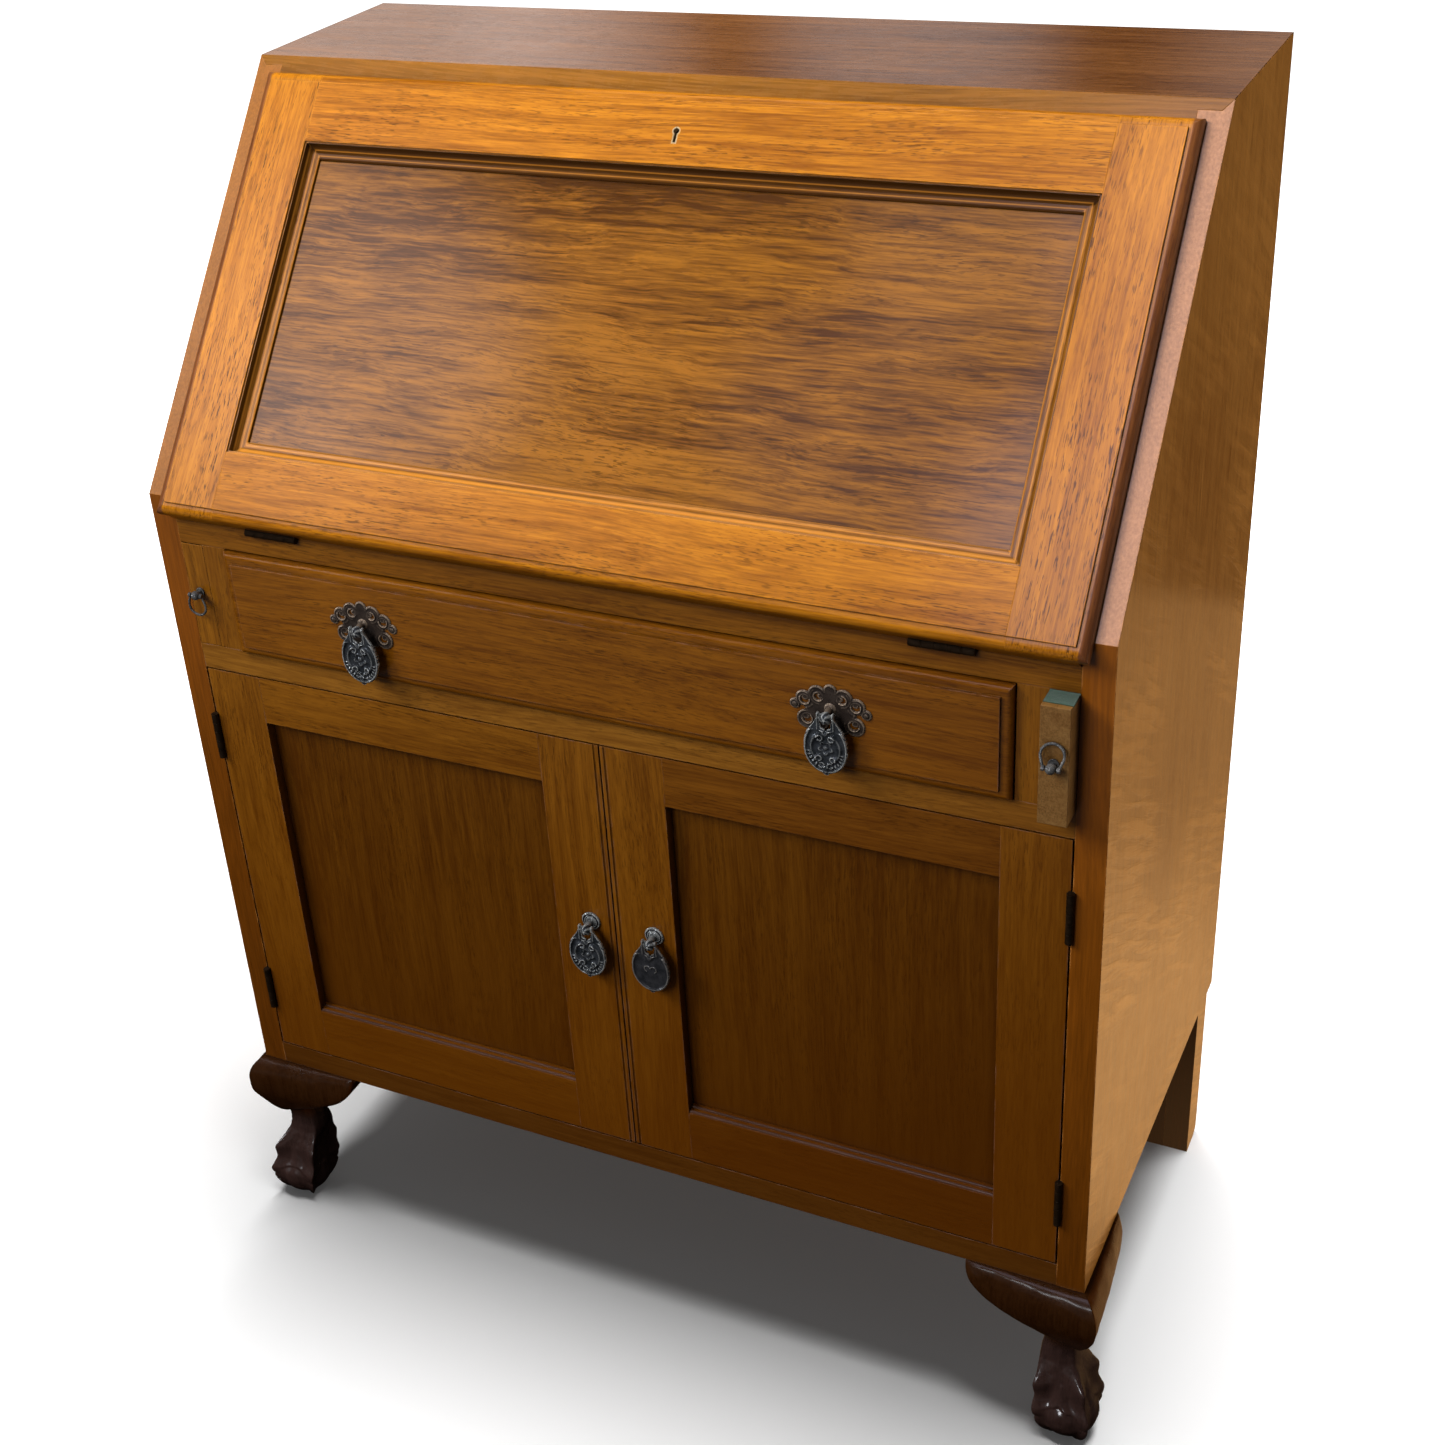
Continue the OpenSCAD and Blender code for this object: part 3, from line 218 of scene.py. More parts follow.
def wood(name, mid, spread=0.25, grain="x", seed=0.0, rough=0.34, coat=0.35, fleck=1.0, streak=1.0,
         figure=0.0, wear=1.0, edge=0.0009, coat_rough=0.12, slope=False, wavy=0.0, short=1.0,
         front=None, slant=None, mitre=None, low=None, wear_and_sheen_to=None, fade=0.0, rim=None, hollow=0.011,
         beside=None, shade=0.0, moulded=None):
    """Varnished timber: long streaks, short open pores, arrises rubbed pale with painted sheen, and painted
    shade in the corners.

    Colours are 0 to 255. front, slant, beside and moulded colour the faces that look forward, along the
    slope, sideways and askew, as painted light and shade: front is painted shade, darkest low down, slant
    painted light and sheen, beside painted light and moulded painted shade; low is a colour for the foot,
    with the heights where it starts and is full; wear_and_sheen_to is the colour of the rubbed arrises, with
    painted sheen. figure, wavy, shade and fade are strengths of a side's ripple with painted sheen low down,
    knots, a moulding's painted shade and highlights, and the painted shade towards the floor. mitre and rim
    place the fall's strips.
    """
    g = Paint(name)
    dark, middle, light = shades(mid, spread)
    shift = (seed, seed * 0.37, seed * 0.71)
    tc = g.node("TexCoord")
    place = tc.outputs["Object"]
    if slope:
        # the fall's plane turned upright first, so that its slope becomes Z
        r = g.node("VectorRotate", rotation_type="AXIS_ANGLE")
        g.put(r.inputs["Vector"], place)
        r.inputs["Axis"].default_value = (1, 0, 0)
        r.inputs["Angle"].default_value = LEAN
        place = r.outputs[0]

    def wander(vector, amount, by):
        """Move the point across the grain: amount runs from 0 to 1, by is how far Y and Z go, m."""
        off = g.node("CombineXYZ")
        for i in (0, 1):
            g.put(off.inputs[i + 1], g.mul(g.sub(amount, 0.5), by[i]))
        return g.vmath("ADD", vector, off.outputs[0])

    base = g.stretch(place, shift=shift, rotation=ALONG[grain])
    x, _, z = g.split(place)
    if mitre:
        # four strips round an opening: the grain turns where two of them meet
        across = g.sub(g.math("ABSOLUTE", x), mitre[0])
        upward = g.sub(g.math("ABSOLUTE", g.sub(z, mitre[1])), mitre[2])
        level = g.math("LESS_THAN", across, upward)
        pick = g.node("Mix", data_type="VECTOR")
        g.put(pick.inputs[0], g.sub(1.0, level))
        g.put(pick.inputs[4], base)
        g.put(pick.inputs[5], g.stretch(place, shift=shift, rotation=ALONG["z"]))
        base = pick.outputs[1]
    p = wander(base, g.noise(g.stretch(base, (1.6, 5, 5)), 1.0, 2, 0.5), (0.05, 0.04))
    if wavy:
        ripple = g.noise(g.stretch(base, (16, 30, 30), (3, 1, 2)), 1.0, 2, 0.5)
        p = wander(p, ripple, (0.016 * wavy, 0.016 * wavy))
    broad = g.noise(g.stretch(p, (1.3 * short ** 2, 26 * short, 26 * short)), 1.0, 3, 0.55)
    mids = g.noise(g.stretch(p, (5 * short ** 2, 130 * short, 130 * short)), 1.0, 4, 0.6)
    fine = g.noise(g.stretch(p, (22, 620, 620)), 1.0, 3, 0.6)
    pore = g.noise(g.stretch(p, (100, 1050, 1050)), 1.0, 2, 0.5)
    zone = g.noise(base, 4.0, 2, 0.5)
    tone = g.add(g.mul(broad, 0.36 * streak), g.mul(mids, 0.46 * streak))
    tone = g.add(tone, g.mul(fine, 0.62))
    tone = g.add(tone, g.mul(g.sub(zone, 0.5), 0.35))
    tone = g.add(tone, 0.5 * (1 - 0.82 * streak - 0.62))
    col = g.ramp(tone, [(0.34, dark), (0.50, middle), (0.66, light)])
    flecks = g.remap(pore, 0.36, 0.46, 1.0, 0.0, smooth=True)
    patch = g.remap(g.noise(g.stretch(p, (9, 60, 60)), 1.0, 2, 0.5), 0.4, 0.62, 0.25, 1.0)
    flecks = g.mul(flecks, patch)
    col = g.mix(g.mul(flecks, 0.55 * fleck), col, times(dark, 0.35))
    if wavy:
        # a few small knots with the grain running round them
        knot = g.node("TexVoronoi", feature="F1")
        g.put(knot.inputs["Vector"], g.stretch(p, (5.5, 11, 0.01)))
        knot.inputs["Scale"].default_value = 1.0
        near = g.remap(knot.outputs["Distance"], 0.03, 0.11, 1, 0, smooth=True)
        col = g.mix(g.mul(near, 0.6 * wavy), col, times(dark, 0.45))
    up_z = g.split(tc.outputs["Object"])[2]
    sideways, facing, _ = g.split(tc.outputs["Normal"])
    geo_normal = g.node("NewGeometry").outputs["Normal"]
    variation = g.remap(tone, 0.3, 0.7, 1 - 1.1 * spread, 1 + 1.1 * spread)

    def tinted(mask, colour):
        """The colour so far, with another one under the same grain where the mask is 1."""
        return g.mix(mask, col, g.mix(1.0, srgb(*colour), variation, "MULTIPLY"))

    def facing_between(rise, fall):
        """0 to 1 over the rise of the normal's Y, and back to 0 over the fall."""
        return g.mul(g.remap(facing, *rise, 0, 1), g.remap(facing, *fall, 1, 0))

    if figure:
        # faint ripple figure across the grain of the broad face, down towards the back, painted pale as a
        # rippled sheen and strongest low down, where painted light from the floor falls
        tilt = g.stretch(place, rotation=(math.radians(32), 0, 0))
        wav = g.noise(g.stretch(tilt, (12, 12, 125), shift), 1.0, 3, 0.5, 0.35)
        groups = g.remap(g.noise(g.stretch(tilt, (5, 5, 12), shift), 1.0, 2, 0.5), 0.4, 0.6, 0.1, 1)
        groups = g.mul(groups, g.remap(g.sub(0.9, z), 0, 0.5, 0.35, 1))
        wav = g.mul(g.remap(wav, 0.42, 0.62, 0, 1), groups)
        broadside = g.remap(g.math("ABSOLUTE", sideways), 0.85, 0.95, 0, 1)
        col = g.mix(g.mul(wav, g.mul(broadside, figure)), col, times(light, 1.35))
    if front:
        # painted shade: the strip that faces forward is darker, most of all low down
        tone_down = g.mul(variation, g.remap(up_z, DARK_Z, FULL_Z, 0.5, 1))
        col = g.mix(g.remap(facing, -0.97, -0.9, 1, 0), col, g.mix(1.0, srgb(*front), tone_down, "MULTIPLY"))
    # painted light: faces that look sideways take a lighter colour, as lit from the side
    if beside:
        col = tinted(g.remap(sideways, 0.35, 0.75, 0, 1), beside)
    if shade:
        # painted shade on the strips that face down, painted highlight on the ones that face up
        tip = g.split(geo_normal)[2]
        col = g.mix(g.remap(tip, 0.58, 0.3, 0, shade), col, times(dark, 0.3))
        col = g.mix(g.remap(tip, 0.7, 0.9, 0, 0.5 * shade), col, times(light, 1.5))
        # painted shade over the whole upper strip, and painted highlight that makes the lower one paler
        high = g.remap(z, mitre[1] - 0.01, mitre[1] + 0.01, 0, 1)
        upper = g.mul(level, high)
        lower = g.mul(level, g.sub(1.0, high))
        col = g.mix(g.mul(upper, 0.85 * shade), col, times(dark, 0.5))
        col = g.mix(g.mul(lower, 0.2 * shade), col, times(light, 1.6))
        # fine reeds along the strips, with painted shade and highlight on them
        reed_pitch = 0.0042
        inwards = g.math("MAXIMUM", across, upward)
        reeds = g.math("SINE", g.mul(inwards, 2 * math.pi / reed_pitch))
        col = g.mix(g.remap(reeds, 0.3, 1, 0, 0.6), col, times(dark, 0.3))
        col = g.mix(g.remap(reeds, -0.6, -1, 0, 0.5), col, times(light, 1.7))
    # painted light and sheen: faces along the slope take a colour of their own
    if slant:
        col = tinted(facing_between((-0.9, -0.8), (-0.6, -0.5)), slant)
    if fade:
        # painted shade: darker towards the foot of the desk, most of all on the right
        beyond = g.math("MAXIMUM", g.sub(x, 0.05), 0)
        sunk = g.sub(up_z, g.mul(beyond, 0.55))
        col = g.mix(g.remap(sunk, DARK_Z, FULL_Z, fade, 0), col,
                    tuple(v * k for v, k in zip(dark, (1, 0.87, 0.45))))
    if moulded:
        # painted shade: moulded strips, which don't face straight forward, are darker than the flat ones
        col = tinted(facing_between((-0.99, -0.94), (-0.15, -0.05)), moulded)
    if rim:
        # the fall is a little darker low down
        col = g.mix(1.0, col, g.remap(up_z, 0.7, 0.82, 0.78, 1.03), "MULTIPLY")
        # the moulded lip round the fall is darker than its frame
        beyond = g.sub(g.math("ABSOLUTE", x), rim[0])
        under = g.sub(rim[1], z)
        col = tinted(g.remap(g.math("MAXIMUM", beyond, under), -0.0072, -0.0058, 0, 0.8), LIP)
    if low:
        col = tinted(g.remap(up_z, low[1], low[2], 1, 0, smooth=True), low[0])
    # arrises rubbed pale with painted sheen on them, and painted shade in the inner corners
    round_edge = g.bevel(edge)
    turned = g.sub(1.0, g.vmath("DOT_PRODUCT", g.bevel(2 * edge), geo_normal))
    rub = g.noise(base, 55.0, 4, 0.65)
    wear_and_sheen = g.mul(g.remap(turned, 0.02, 0.2, 0, 1), g.remap(rub, 0.42, 0.62, 0, 1))
    # painted shade: darker where ambient occlusion finds a corner
    hollow_darkening = g.remap(g.hollows(hollow), 0.35, 0.85, 1, 0)
    wear_and_sheen = g.math("MULTIPLY", wear_and_sheen, g.sub(1.0, hollow_darkening), clamp=True)
    # the arrises' colour: rubbed wood with painted sheen on it
    wear_and_sheen_colour = srgb(*wear_and_sheen_to) if wear_and_sheen_to else tuple(min(1, c * 1.6 + 0.02) for c in light)
    col = g.mix(g.mul(wear_and_sheen, 0.55 * wear), col, wear_and_sheen_colour)
    # the painted shade laid into the corners
    col = g.mix(g.mul(hollow_darkening, 0.72), col, times(dark, 0.18))
    height = g.sub(g.mul(mids, 0.5), g.mul(flecks, 0.8))
    normal = g.bump(height, 0.35, 0.00025, round_edge)
    if shade:
        normal = g.bump(reeds, 0.5, -0.0006, normal)
    if figure:
        normal = g.bump(g.mul(wav, broadside), figure, 0.0015, normal)
    if beside:
        # polished most in the low part, least on the faces that look sideways
        coat = g.mul(g.remap(sideways, 0.35, 0.75, coat, 0.1 * coat), g.remap(up_z, low[1], low[2], 1, 0.2))
    gloss = g.add(g.mul(fine, 0.5), g.mul(rub, 0.5))
    g.set(Base_Color=col, Normal=normal, Coat_Weight=coat, Coat_Roughness=coat_rough, Coat_Normal=round_edge,
          IOR=1.48, Specular_IOR_Level=0.25, Roughness=g.remap(gloss, 0.3, 0.7, rough - 0.07, rough + 0.1))
    return g.mat


def metal(name, base, tint, rough=0.35, hollow_darkening=0.8, relief=None):
    """Darkened cast metal: rubbed high spots, painted pale on reliefs also as highlight, and black hollows."""
    g = Paint(name)
    c = g.node("TexCoord").outputs["Object"]
    n = g.noise(c, 900.0, 4, 0.6)
    big = g.noise(c, 160.0, 3, 0.5)
    hollow = g.remap(g.hollows(0.0025), 0.35, 0.95, 1, 0)
    round_edge = g.bevel(0.0004)
    geo = g.node("NewGeometry")
    turned = g.sub(1.0, g.vmath("DOT_PRODUCT", round_edge, geo.outputs["Normal"]))
    edge = g.remap(turned, 0.01, 0.15, 0, 1)
    col = g.mix(g.remap(big, 0.35, 0.65, 0, 1), base, tint)
    col = g.mix(g.mul(edge, 0.25 if relief else 0.6), col, times(tint, 2.2))
    if relief:
        # rubbed high spots on a finely modelled piece, painted pale also as highlight
        high = g.remap(geo.outputs["Pointiness"], 0.502, 0.56, 0, 1, smooth=True)
        col = g.mix(g.mul(high, g.remap(big, 0.3, 0.6, 0.6, 1)), col, relief)
        col = g.mix(g.remap(geo.outputs["Pointiness"], 0.44, 0.497, 0.7, 0), col, (0.012, 0.01, 0.009))
    col = g.mix(g.mul(hollow, hollow_darkening), col, (0.008, 0.007, 0.006))
    g.set(Base_Color=col, Metallic=g.remap(hollow, 0, 1, 0.6, 0.2),
          Normal=g.bump(n, 0.25, 0.0001, round_edge), Roughness=g.remap(n, 0.3, 0.7, rough - 0.08, rough + 0.16))
    return g.mat


def baize(name):
    """Green wool cloth, worn pale in patches."""
    g = Paint(name)
    c = g.node("TexCoord").outputs["Object"]
    n = g.noise(c, 1800.0, 4, 0.7)
    col = g.ramp(n, [(0.3, (0.008, 0.03, 0.018)), (0.7, (0.02, 0.07, 0.042))])
    wear = g.remap(g.noise(c, 120.0, 3, 0.6), 0.55, 0.7, 0, 0.25)
    col = g.mix(wear, col, (0.09, 0.11, 0.07))
    g.set(Base_Color=col, Roughness=0.95, Sheen_Weight=0.25, Sheen_Roughness=0.5,
          Normal=g.bump(n, 0.8, 0.0006))
    return g.mat


# ---------------------------------------------------------------- materials

# middle colours of the timbers: the fall, its panel and moulding, the top, the sides and the front
AMBER, PANEL, MOULDING = (152, 92, 12), (105, 63, 6), (126, 78, 22)
TOP, SIDE, FRONT_WOOD = (104, 62, 26), (166, 108, 46), (110, 66, 10)
# the doors' panels, the knees, the feet and the unvarnished inside
PANELS, KNEE, FOOT, LINING = (88, 51, 6), (36, 17, 4), (40, 27, 24), (158, 120, 74)
# edges of the front, rubbed and with painted sheen; the doors' mouldings in painted shade; the lip round the
# fall
EDGES, MOULDED, LIP = (128, 98, 88), (62, 40, 30), (84, 48, 34)


def turned_upright(point):
    """A point of the fall, turned so that the fall's slope becomes Z."""
    return Matrix.Rotation(LEAN, 3, "X") @ point


panel_lo, panel_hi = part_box("fall_panel")
panel_low, panel_high = turned_upright(panel_lo).z, turned_upright(panel_hi).z
# the panel's half width, its middle height and half its height
MITRE = (panel_hi.x, (panel_low + panel_high) / 2, abs(panel_high - panel_low) / 2)
frame_lo, frame_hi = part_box("fall_stiles")
# half the fall's width and the height of its lower edge
RIM = (frame_hi.x, turned_upright(frame_lo).z)


def front_wood(name, grain, seed, mid=FRONT_WOOD, spread=0.4, **more):
    return wood(name, mid, spread, grain=grain, seed=seed, fade=0.85, wear_and_sheen_to=EDGES, **more)


paint = {
    "fall_stiles": wood("fall_stiles_wood", AMBER, 0.36, grain="z", seed=1.3, slope=True, fleck=1.7, rim=RIM,
                        coat=0.6),
    "fall_rails": wood("fall_rails_wood", AMBER, 0.42, grain="x", seed=2.1, slope=True, fleck=1.3, rim=RIM),
    "fall_panel": wood("fall_panel_wood", PANEL, 0.62, grain="x", seed=5.2, slope=True, streak=1.3,
                       coat=0.8, coat_rough=0.08, wavy=0.5, short=1.7, hollow=0.02),
    "fall_moulding": wood("fall_moulding_wood", MOULDING, 0.5, grain="x", seed=3.3, slope=True, mitre=MITRE,
                          edge=0.0004, hollow=0.006, coat=0.7, wear_and_sheen_to=(190, 150, 120), shade=0.9),
    # front and slant give the sides' edges painted shade and painted sheen
    "side_right": wood("side_right_wood", SIDE, 0.3, grain="z", seed=7.7, figure=0.65, streak=0.4, fleck=0.5,
                       front=(120, 65, 8), slant=(152, 108, 78), coat=0.5),
    "side_left": wood("side_left_wood", SIDE, 0.3, grain="z", seed=4.4, figure=0.5, streak=0.4, fleck=0.5,
                      front=(112, 60, 8), slant=(124, 78, 34)),
    "rear_feet": wood("rear_feet_wood", SIDE, 0.3, grain="z", seed=6.1, figure=0.4, streak=0.4,
                      front=(96, 48, 14)),
    "top": wood("top_wood", TOP, 0.4, grain="x", seed=6.1, rough=0.26, coat=0.6, slant=(114, 72, 20)),
    "writing_deck": wood("deck_wood", FRONT_WOOD, 0.4, grain="x", seed=8.2, wear_and_sheen_to=EDGES),
    "drawer_rail": front_wood("rail_wood", "x", 9.3, mid=(118, 75, 20)),
    "bottom_rail": front_wood("bottom_rail_wood", "x", 1.9, mid=(106, 66, 22), spread=0.6),
    "drawer_front": front_wood("drawer_wood", "x", 3.7, mid=(106, 61, 6), coat=0.5),
    "door_left_panel": front_wood("door_left_panel_wood", "z", 2.6, mid=PANELS, streak=1.2),
    "door_right_panel": front_wood("door_right_panel_wood", "z", 5.9, mid=PANELS, streak=1.2),
    "door_left_stiles": front_wood("door_left_stiles_wood", "z", 0.6),
    "door_right_stiles": front_wood("door_right_stiles_wood", "z", 7.1),
    # moulded gives the rails' moulded strips painted shade
    "door_left_rails": front_wood("door_left_rails_wood", "x", 4.1, moulded=MOULDED, wear=0.5, edge=0.0005),
    "door_right_rails": front_wood("door_right_rails_wood", "x", 8.8, mid=(100, 58, 9), moulded=MOULDED,
                                   wear=0.5, edge=0.0005),
    "loper_left": wood("loper_left_wood", FRONT_WOOD, 0.4, grain="z", seed=5.1),
}
upright = wood("upright_wood", FRONT_WOOD, 0.25, grain="z", seed=6.6)
# beside gives the ears' side faces painted light
foot = wood("foot_wood", KNEE, 0.3, grain="z", seed=2.9, rough=0.3, coat=1.0, fleck=0.3, wear=0.25,
            low=(FOOT, 0.085, 0.105), wear_and_sheen_to=(124, 88, 60), beside=(62, 28, 3))
loper = wood("loper_wood", (112, 80, 42), 0.25, grain="y", seed=3.1)
inside_x, inside_y, inside_z = (
    wood("inside_%s_wood" % way, LINING, 0.25, grain=way, seed=seed, coat=0.0, rough=0.6, wear=0.3)
    for way, seed in (("x", 1.1), ("y", 2.2), ("z", 3.5)))
bronze = metal("bronze_metal", (0.06, 0.062, 0.066), (0.16, 0.155, 0.15), rough=0.24)
aged = metal("aged_metal", (0.014, 0.008, 0.004), (0.03, 0.017, 0.009), rough=0.5)
brass = metal("brass_metal", (0.42, 0.28, 0.13), (0.62, 0.45, 0.25), rough=0.4)
steel = metal("steel_metal", (0.3, 0.3, 0.3), (0.45, 0.44, 0.43), rough=0.4)
plate_bronze = metal("plate_metal", (0.028, 0.02, 0.017), (0.055, 0.04, 0.032), rough=0.28, hollow_darkening=0.5,
                     relief=(0.4, 0.3, 0.22))
drop_bronze = metal("drop_metal", (0.018, 0.022, 0.026), (0.05, 0.056, 0.066), rough=0.17, hollow_darkening=0.5,
                    relief=(0.5, 0.51, 0.5))
dull_bronze = metal("dull_metal", (0.022, 0.023, 0.027), (0.05, 0.05, 0.056), rough=0.3, hollow_darkening=0.5,
                    relief=(0.3, 0.28, 0.26))
cloth = baize("baize_cloth")
# carved pieces take the place of the front legs, the drawer's plates, the rosettes and the drops further on
for names, mat in (
    ("divider_left divider_right", upright),
    ("leg_left leg_right knee_blocks", foot),
    ("loper_right", loper),
    ("back_panel cupboard_shelf bottom_board door_stop drawer_back drawer_bottom pigeonhole_shelf", inside_x),
    ("drawer_runners shelf_cleats drawer_sides", inside_y),
    ("pigeonhole_dividers", inside_z),
    ("drawer_plates drawer_drop_left drawer_drop_right door_left_rosette door_left_drop door_right_rosette "
     "door_right_drop loper_knob_left loper_knob_right loper_ring_left loper_ring_right", bronze),
    ("hinge_plates hinge_pins door_left_fittings door_right_fittings fall_hinge_leaves", aged),
    ("lock_keeper keyhole_liner lock_bolt", brass),
    ("lock_body", steel),
    ("loper_baize_left loper_baize_right", cloth),
):
    for n in names.split():
        paint[n] = mat
for n, o in NODES.items():
    o.data.materials.clear()
    o.data.materials.append(paint[n])

# glossy pieces, which bright windows of their own light
shiny = bpy.data.collections.new("shiny_pieces")
for n in "loper_knob_left loper_knob_right loper_ring_left loper_ring_right".split():
    shiny.objects.link(NODES[n])

# ---------------------------------------------------------------- carved front legs

def mesh_object(name, verts, faces, material):
    me = bpy.data.meshes.new(name)
    me.from_pydata([tuple(v) for v in verts], [], [tuple(int(i) for i in f) for f in faces])
    me.validate()
    me.polygons.foreach_set("use_smooth", [True] * len(me.polygons))
    me.materials.append(material)
    me.update()
    o = bpy.data.objects.new(name, me)
    bpy.context.scene.collection.objects.link(o)
    return o


def waves(p, size, seed, count=9):
    """Smooth deterministic lumps, about -1 to 1, of one size in mm."""
    rng = np.random.RandomState(seed)
    out = 0
    for _ in range(count):
        d = rng.normal(size=3)
        d *= 2 * math.pi / (size * rng.uniform(0.7, 1.4) * np.linalg.norm(d))
        out = out + np.sin(p @ d + rng.uniform(0, 6.28))
    return out / math.sqrt(count) / 1.2


def smooth_rows(a, n):
    """Each column of a table, averaged over n rows to both sides."""
    k = np.hanning(2 * n + 3)[1:-1]
    k /= k.sum()
    pad = np.pad(a, ((n, n), (0, 0)), mode="edge")
    return np.stack([np.convolve(pad[:, i], k, mode="valid") for i in range(a.shape[1])], 1)


def ring_skin(rings):
    """Quads through equal rings, with both ends closed."""
    m, n = len(rings), len(rings[0])
    verts = np.concatenate(rings)
    faces = [(i * n + j, (i + 1) * n + j, (i + 1) * n + (j + 1) % n, i * n + (j + 1) % n)
             for i in range(m - 1) for j in range(n)]
    faces += [tuple(range(n)), tuple(range((m - 1) * n, m * n))[::-1]]
    return verts, faces


def joined(*parts):
    """Several (verts, faces) pairs as one."""
    verts, faces, n = [], [], 0
    for v, f in parts:
        verts.append(v)
        faces += [tuple(n + i for i in q) for q in f]
        n += len(v)
    return np.concatenate(verts), faces


# Legs are carved in mm: the case's half width, its front face and the height of its underside
side_lo, side_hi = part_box("side_right")
HALF_W, FRONT = side_hi.x * 1000, side_lo.y * 1000
LEG_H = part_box("bottom_rail")[0].z * 1000
# heights of the knee, the ankle and the ears' lower edge
KNEE_Z, ANKLE_Z, EAR_LOW = LEG_H - 25, LEG_H * 0.42, LEG_H * 0.575
# how far knee and ankle stand out from the case, how thick the knee is, and the ears' length
KNEE_OUT, ANKLE_OUT, KNEE_THICK, EAR_LEN = 14, -11, 26, 94
# the ball's radius and the height of its middle
BALL_R, BALL_Z = 24.6, 24

# height, inset of the middle, web, squareness, reach of the toes, half width of a toe
SHANK = [
    (114, 12.6, 13.6, 4, 13, 6), (109, 13, 13.4, 4, 13, 6), (104.4, 14.4, 12.3, 3.5, 13, 6),
    (99.1, 17, 13.5, 3, 14, 6), (93.8, 18.4, 13.8, 2.6, 15, 6), (88, 19.6, 14.2, 2.3, 16.2, 6),
    (81.4, 20.2, 14.8, 2.15, 17.8, 6.2), (74.2, 20, 15.8, 2.05, 19.6, 6.2), (70, 18.8, 16.2, 2, 21.2, 6),
    (65.5, 17.3, 16.2, 2, 23.4, 5.6), (61, 15.8, 16.4, 2, 25.8, 5.2), (56, 14.6, 17, 2, 28.2, 4.9),
    (51, 14.2, 18, 2, 29.2, 4.5), (46, 14, 19.2, 2, 29.4, 4.1), (41, 13.6, 20.6, 2, 29.6, 4.1),
    (37, 12.8, 22.1, 2, 30.6, 4.4), (33, 11.8, 23.5, 2, 31.6, 4.6), (29, 11, 24.4, 2, 31.8, 4.3),
    (24.5, 11, 25, 2, 31.4, 3.8), (19.5, 11, 24.6, 2, 30.4, 3.3), (14.5, 11, 22, 2, 28.4, 3.1),
    (9.5, 11, 20, 2, 25.6, 2.8), (5.5, 11, 16, 2, 22.4, 2.5), (2.2, 11, 10, 2, 18.8, 2.2), (0, 11, 5, 2, 15, 2),
]


def foot_rings(seed, across=208, step=0.7):
    """Level sections from the leg's root down to the floor."""
    zs = np.arange(SHANK[0][0], -0.001, -step)
    zs[-1] = 0
    t = np.array(SHANK)[::-1]
    cols = np.stack([np.interp(zs, t[:, 0], t[:, i]) for i in range(1, 6)], 1)
    cols = smooth_rows(cols, 4)
    a = -2 * math.pi * np.arange(across) / across
    c, s = np.cos(a), np.sin(a)
    rings = []
    for z, (inset, web, sq, toe, hw) in zip(zs, cols):
        body = web / (np.abs(c) ** sq + np.abs(s) ** sq) ** (1 / sq)
        ball = math.sqrt(max(6, BALL_R ** 2 - (z - BALL_Z) ** 2))
        lumps = waves(np.stack([30 * c, 30 * s, c * 0 + z], 1), 17, seed)
        # the web ends over the ball in a curved edge
        edge = 30.5 + 6.5 * np.cos(2 * a) ** 2 + 1.2 * lumps
        over = 1 / (1 + np.exp(-(z - edge) * 2.8))
        if z < 62:
            body = ball + (np.maximum(body, ball + 1.5) - ball) * over
        # distance from the nearest toe's middle line, and which toe that is
        off = np.abs((np.degrees(a) + 720) % 90 - 45)
        w = body * np.sin(np.radians(off))
        turn = np.round((np.degrees(a) + 720 - 45) / 90)
        crest = np.exp(-np.abs(w / (0.84 * hw)) ** 1.5)
        groove = np.exp(-((np.abs(w) - 2.0 * hw) / (0.7 * hw)) ** 2)
        groove = groove * np.interp(z, (18, 30, 66, 80), (0, 0.7, 0.8, 0))
        # knuckles: two swellings on each toe, a little different from toe to toe
        shift = 2.2 * np.sin(turn * 2.3 + seed)
        bump = 1.3 * np.exp(-((z - 56 - shift) / 4.2) ** 2) - 0.9 * np.exp(-((z - 45 - shift) / 4.0) ** 2)
        bump = bump + 1.0 * np.exp(-((z - 33 - shift) / 4.0) ** 2) - 1.0 * np.exp(-((z - 23.5) / 1.8) ** 2)
        r = body + (np.maximum(0, toe + bump - body)) * crest - groove
        p = np.stack([r * c, r * s, c * 0 + z], 1)
        r = r + 0.2 * waves(p, 10, seed + 1) + 0.05 * waves(p, 4.2, seed + 2)
        rings.append(np.stack([HALF_W - inset + r * c, FRONT + inset + r * s, c * 0 + z], 1))
    return rings


def knee_reach(z):
    """How far the knee stands out at a height."""
    if z > KNEE_Z:
        return KNEE_OUT * math.sqrt(max(0, 1 - ((z - KNEE_Z) / (LEG_H - KNEE_Z)) ** 2))
    return KNEE_OUT - (KNEE_OUT - ANKLE_OUT) * (1 - math.cos(math.pi * (KNEE_Z - z) / (KNEE_Z - ANKLE_Z))) / 2


def ear_edge(t):
    """Height of the ear's lower edge at a distance from the corner."""
    return EAR_LOW + 0.5 * t + 15 * (1 - math.sqrt(1 - (max(0, t - EAR_LEN + 30) / 30) ** 2))


